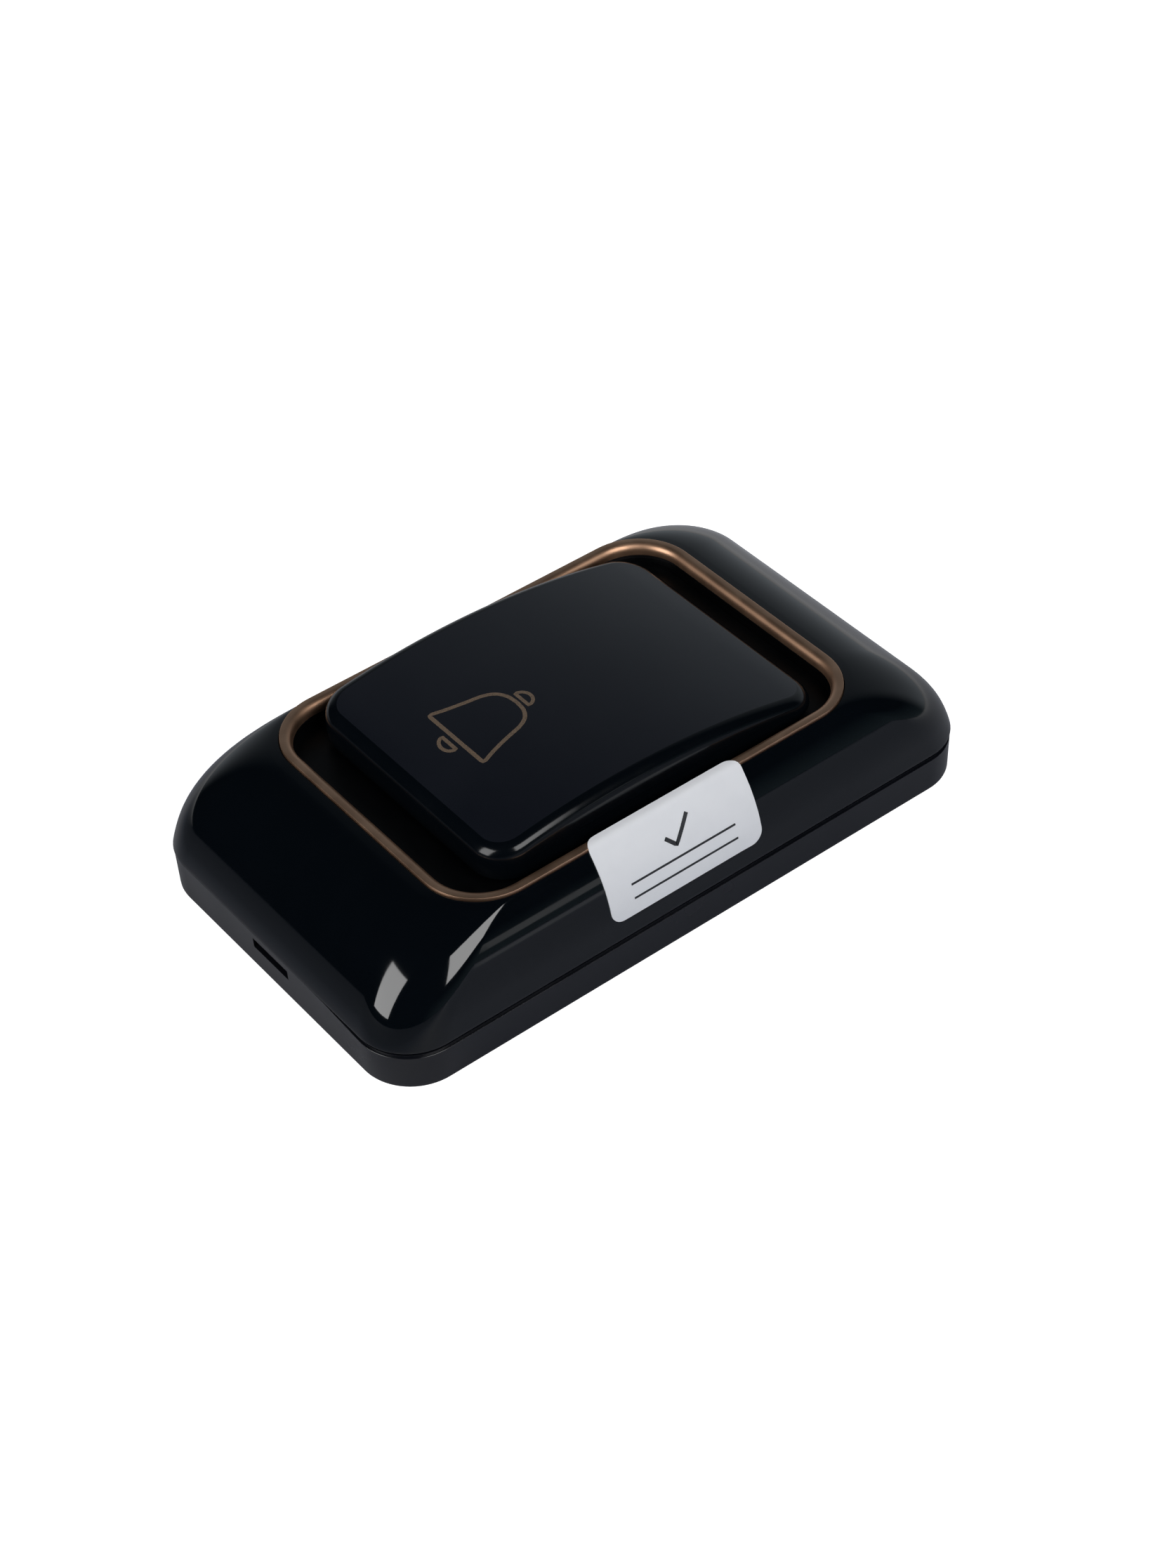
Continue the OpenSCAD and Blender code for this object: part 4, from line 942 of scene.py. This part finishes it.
def makeBase():
    def ring(dims, off, z, rise=0):
        # rise closes the joint at the pressed end, but for the corner next to the sticker
        def ease(v, span):
            s = min(max((v - span[0]) / (span[1] - span[0]), 0), 1)
            return s * s * (3 - 2 * s)

        corner = max(dims[2] - off, base["leastCorner"])
        loop = roundedLoop(dims[0] - off, dims[1] - off, corner, z, runs=base["runs"])
        return [(x, y, z + rise * ease(x, base["riseX"]) * ease(-y, base["riseY"])) for x, y, z in loop]

    draft, footHigh, edge, rise = (base[k] for k in ("draft", "footHigh", "edge", "rimRise"))
    rings = [ring(rim, draft + base["footIn"] * part, footHigh * up) for part, up in base["footShape"]]
    for i in range(base["wallSteps"] + 1):
        s = i / base["wallSteps"]
        z = base["wallFrom"] + (rimTop - edge - base["wallFrom"]) * s
        rings.append(ring(rim, draft * (1 - (z - footHigh) / (baseTop - footHigh)), z, rise * s))
    for i in range(1, base["edgeSteps"] + 1):
        t = math.pi / 2 * i / base["edgeSteps"]
        rings.append(ring(rim, edge * (1 - math.cos(t)), rimTop - edge * (1 - math.sin(t)), rise))
    # shadow line under the cover
    rings += [ring(rim, base["rebate"], rimTop, rise), ring(rim, base["rebate"], baseTop, base["ledgeRise"])]
    thick, inner, floor = base["lipThick"], base["lipInner"], base["floor"]
    (full, part), (wide, mid) = base["lipOuter"], base["fillet"]
    section = ((0, baseTop), (0, lipTop - full), (part, lipTop - part), (full, lipTop),
               (thick - inner, lipTop), (thick, lipTop - inner),
               (thick, floor + wide), (thick + mid, floor + mid), (thick + wide, floor))
    return skin(rings + [ring(lip, off, z) for off, z in section], caps=True)


def baseCuts():
    cuts = []
    dx, dy, dz = base["windowHalf"]
    for side in (-1, 1):
        hole = [(base["holeR"], z) for z in base["holeSpan"]]
        cuts.append(turned(hole, (0, side * base["holeY"], 0), count=base["count"]))
        for end in (-1, 1):
            x, y, z = side * (lip[0] - base["lipThick"] / 2), end * base["windowY"], base["windowZ"]
            cuts.append(block(x - dx, x + dx, y - dy, y + dy, z - dz, z + dz))
    half, low, (out, past) = base["slotWide"] / 2, base["slotLow"], base["slotPast"]
    inner = base["lipThick"] + past - lip[1]
    cuts.append(block(-half, half, -rim[1] - out, inner, low, low + base["slotHigh"]))
    return cuts


def baseJoins():
    joins = []
    low, padTop, ribTop, top = (base["floor"] + h for h in (
        -base["sink"], base["padHigh"], base["ribHigh"], base["saddleHigh"]))
    r, edge = base["padR"], base["padEdge"]
    pad = [(r, low), (r, padTop - edge), (r - edge, padTop)]
    w = base["ribWide"] / 2
    half = [(low, w)] + [(ribTop - down, w - inward) for down, inward in base["ribEdge"]]
    r, n = base["cellR"] + base["slip"], base["cupSteps"]
    reach = math.asin(base["cellR"] / r * base["cupPart"])
    cup = [(base["cellZ"] - r * math.cos(t), base["cellX"] + r * math.sin(t))
           for t in (reach * (1 - 2 * i / n) for i in range(n + 1))]
    left, right = base["cellX"] - base["cellR"], base["cellX"] + base["cellR"]
    saddle = [(low, left), (low, right), (top, right), *(p for p in cup if p[0] <= top), (top, left)][::-1]
    for side in (-1, 1):
        joins.append(turned(pad, (0, side * base["holeY"], 0), count=base["count"]))
        x = side * base["ribX"]
        rib = [(z, x - out) for z, out in half] + [(z, x + out) for z, out in reversed(half)]
        joins.append(prism(rib, -base["ribLong"] / 2, base["ribLong"], "y"))
        start = side * base["cellLong"] / 4 - base["saddleWide"] / 2
        joins.append(prism(saddle, start, base["saddleWide"], "y"))
    return joins


def makeTrough():
    half, r = (base["cellLong"] + base["troughMore"]) / 2, base["cellR"] + base["trough"]
    return turned([(r, -half), (r, half)], (base["cellX"], 0, base["cellZ"]), "y", base["troughCount"])


basePlate = addPiece("basePlate", makeBase(), "base", baseFinish)
carve(basePlate, [makeTrough()])
carve(basePlate, baseCuts(), baseJoins())
dress(basePlate, baseFinish, sharpAngle)
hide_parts("base_plate")
print("base plate made")

# inside: moulded and metal parts keep their exact solids

# black epoxy: dull, slightly grey, with a fine moulded grain
blackEpoxy = {"tone": "#121213", "light": "#1a1a1b", "ior": 1.55, "rough": 0.5, "polished": 0.38,
              "grain": 0.08, "grainDepth": 0.004, "cloud": 0.8}
# tin plate rolled from strip: pale grey metal with long faint streaks
tinPlate = {"tone": "#bcbcb8", "light": "#cfcfca", "rough": 0.36, "polished": 0.22, "grain": 0.2,
            "grainDepth": 0.003, "cloud": 1.5, "stretch": (1, 0.12, 1)}
# nickel plate: warmer and more mirror-like than tin
nickelPlate = {"tone": "#b3ab9c", "light": "#c4bdaf", "rough": 0.24, "polished": 0.14, "grain": 0.3,
               "grainDepth": 0.002, "cloud": 2}
# zinc plate on steel: blue-grey with a crystalline mottle
zincPlate = {"tone": "#a9adb3", "light": "#c3c6c8", "rough": 0.42, "polished": 0.28, "grain": 0.12,
             "grainDepth": 0.004, "cloud": 0.5}
# bare copper under a thin lacquer: orange-brown, a little tarnished in clouds
copperTrack = {"tone": "#a0623f", "light": "#b9774f", "rough": 0.4, "polished": 0.28, "grain": 0.15,
               "grainDepth": 0.003, "cloud": 2}
# fired ceramic: tan, smooth and slightly waxy
firedCeramic = {"tone": "#8d7557", "light": "#9d8666", "ior": 1.6, "rough": 0.4, "polished": 0.3,
                "grain": 0.06, "grainDepth": 0.003, "cloud": 0.4}

# glass-epoxy board: copper fields show as paler green through the mask, the cut edge is straw-coloured
boardMask = {"mask": "#092c1b", "copper": "#12482d", "edge": "#8c7b45", "ior": 1.5, "rough": 0.3, "field": 7,
             "gap": 0.5, "fade": 1.4, "copperDepth": 0.03, "copperStrength": 0.6, "upright": 0.5}


def makeBoard(name, use):
    finish, tree, shader, place = startFinish(name, {"IOR": use["ior"], "Roughness": use["rough"]})
    first, second = (addNode(tree, "ShaderNodeTexVoronoi", {
        "voronoi_dimensions": "2D", "distance": "CHEBYCHEV", "feature": kind,
        "Scale": perMetre(use["field"])}, {"Vector": place}).outputs["Distance"] for kind in ("F1", "F2"))
    apart = addNode(tree, "ShaderNodeMath", {"operation": "SUBTRACT"}, {0: second, 1: first})
    gap = use["gap"] / use["field"]
    field = addNode(tree, "ShaderNodeMapRange", {"From Min": gap, "From Max": gap * use["fade"]},
                    {"Value": apart.outputs[0]})
    tone = addNode(tree, "ShaderNodeMix", {
        "data_type": "RGBA", 6: colour(use["mask"]), 7: colour(use["copper"])}, {0: field.outputs[0]})
    normal = addNode(tree, "ShaderNodeNewGeometry").outputs["Normal"]
    facing = addNode(tree, "ShaderNodeSeparateXYZ", links={0: normal})
    level = addNode(tree, "ShaderNodeMath", {"operation": "ABSOLUTE"}, {0: facing.outputs["Z"]})
    edge = addNode(tree, "ShaderNodeMath", {"operation": "LESS_THAN", 1: use["upright"]},
                   {0: level.outputs[0]})
    both = addNode(tree, "ShaderNodeMix", {"data_type": "RGBA", 7: colour(use["edge"])},
                   {0: edge.outputs[0], 6: tone.outputs[2]})
    bump = addNode(tree, "ShaderNodeBump", {
        "Strength": use["copperStrength"], "Distance": use["copperDepth"] * mm}, {"Height": field.outputs[0]})
    plug(tree, shader, {"Base Color": both.outputs[2], "Normal": bump.outputs[0]})
    return finish


# shrink sleeve of the cell: printed film in two flat colours with a thin pale line between them
cellSleeve = {"body": "#16233d", "band": "#b88a3a", "line": "#d8d6cc", "ior": 1.5, "rough": 0.22,
              "bandFrom": 6.2, "lineWide": 0.5, "crease": 1.5, "creaseDepth": 0.02, "creaseStrength": 0.3}


def makeSleeve(name, use):
    finish, tree, shader, place = startFinish(name, {"IOR": use["ior"], "Roughness": use["rough"]})
    along = addNode(tree, "ShaderNodeSeparateXYZ", links={0: place}).outputs["Y"]
    below = {}
    for start, shade in ((use["bandFrom"] - use["lineWide"], use["line"]), (use["bandFrom"], use["band"])):
        past = addNode(tree, "ShaderNodeMath", {"operation": "GREATER_THAN", 1: start * mm}, {0: along})
        tone = addNode(tree, "ShaderNodeMix", {
            "data_type": "RGBA", 6: colour(use["body"]), 7: colour(shade)}, {0: past.outputs[0], **below})
        below = {6: tone.outputs[2]}
    crease = addNode(tree, "ShaderNodeTexNoise", {"Scale": perMetre(use["crease"]), "Detail": 3},
                     {"Vector": place})
    bump = addNode(tree, "ShaderNodeBump", {
        "Strength": use["creaseStrength"], "Distance": use["creaseDepth"] * mm},
        {"Height": crease.outputs["Fac"]})
    plug(tree, shader, {"Base Color": tone.outputs[2], "Normal": bump.outputs[0]})
    return finish


inside = (
    (wellFinish, ("button_well",)),
    (makeGrained("black epoxy, transfer moulded", blackEpoxy),
     ("switch_housing", "switch_plunger", "encoder_chip", "rf_transistor", "chip_resistors")),
    (makeGrained("tin plate, rolled strip", tinPlate, Metallic=1),
     ("switch_plate", "switch_legs", "component_leads", "contact_negative", "contact_positive")),
    (makeGrained("nickel plate, deep drawn", nickelPlate, Metallic=1), ("saw_resonator", "battery_can")),
    (makeGrained("zinc plate, rolled thread", zincPlate, Metallic=1), ("board_screws",)),
    (makeGrained("copper, etched", copperTrack, Metallic=1), ("antenna_trace",)),
    (makeGrained("ceramic, fired", firedCeramic), ("chip_capacitors",)),
    (makeBoard("glass epoxy, green mask", boardMask), ("circuit_board",)),
    (makeSleeve("shrink sleeve, printed film", cellSleeve), ("battery_jacket",)),
)
for finish, names in inside:
    for name in names:
        mesh = nodes[name].data
        mesh.materials.clear()
        mesh.materials.append(finish)

# solder drawn up the legs of the switch under the board: bright and slightly frosted
solder = {
    **tinPlate, "tone": "#c4c6c8", "light": "#d6d8d8", "rough": 0.3, "polished": 0.16, "cloud": 0.5,
    "stretch": (1, 1, 1), "boardLow": 5.6, "legX": 3.25, "legY": 2.25, "count": 24,
    "shape": ((0.95, 0.02), (0.86, -0.1), (0.62, -0.3), (0.46, -0.52), (0.36, -0.72), (0.2, -0.8)),
}
legs = [(sx * solder["legX"], under["pressY"] + sy * solder["legY"], solder["boardLow"])
        for sx, sy in quarters]
joints = merge([turned(solder["shape"], leg, count=solder["count"]) for leg in legs])
solderFinish = makeGrained("solder, hand soldered", solder, Metallic=1)
addPiece("solderJoints", joints, "front", solderFinish)
print("inside dressed")
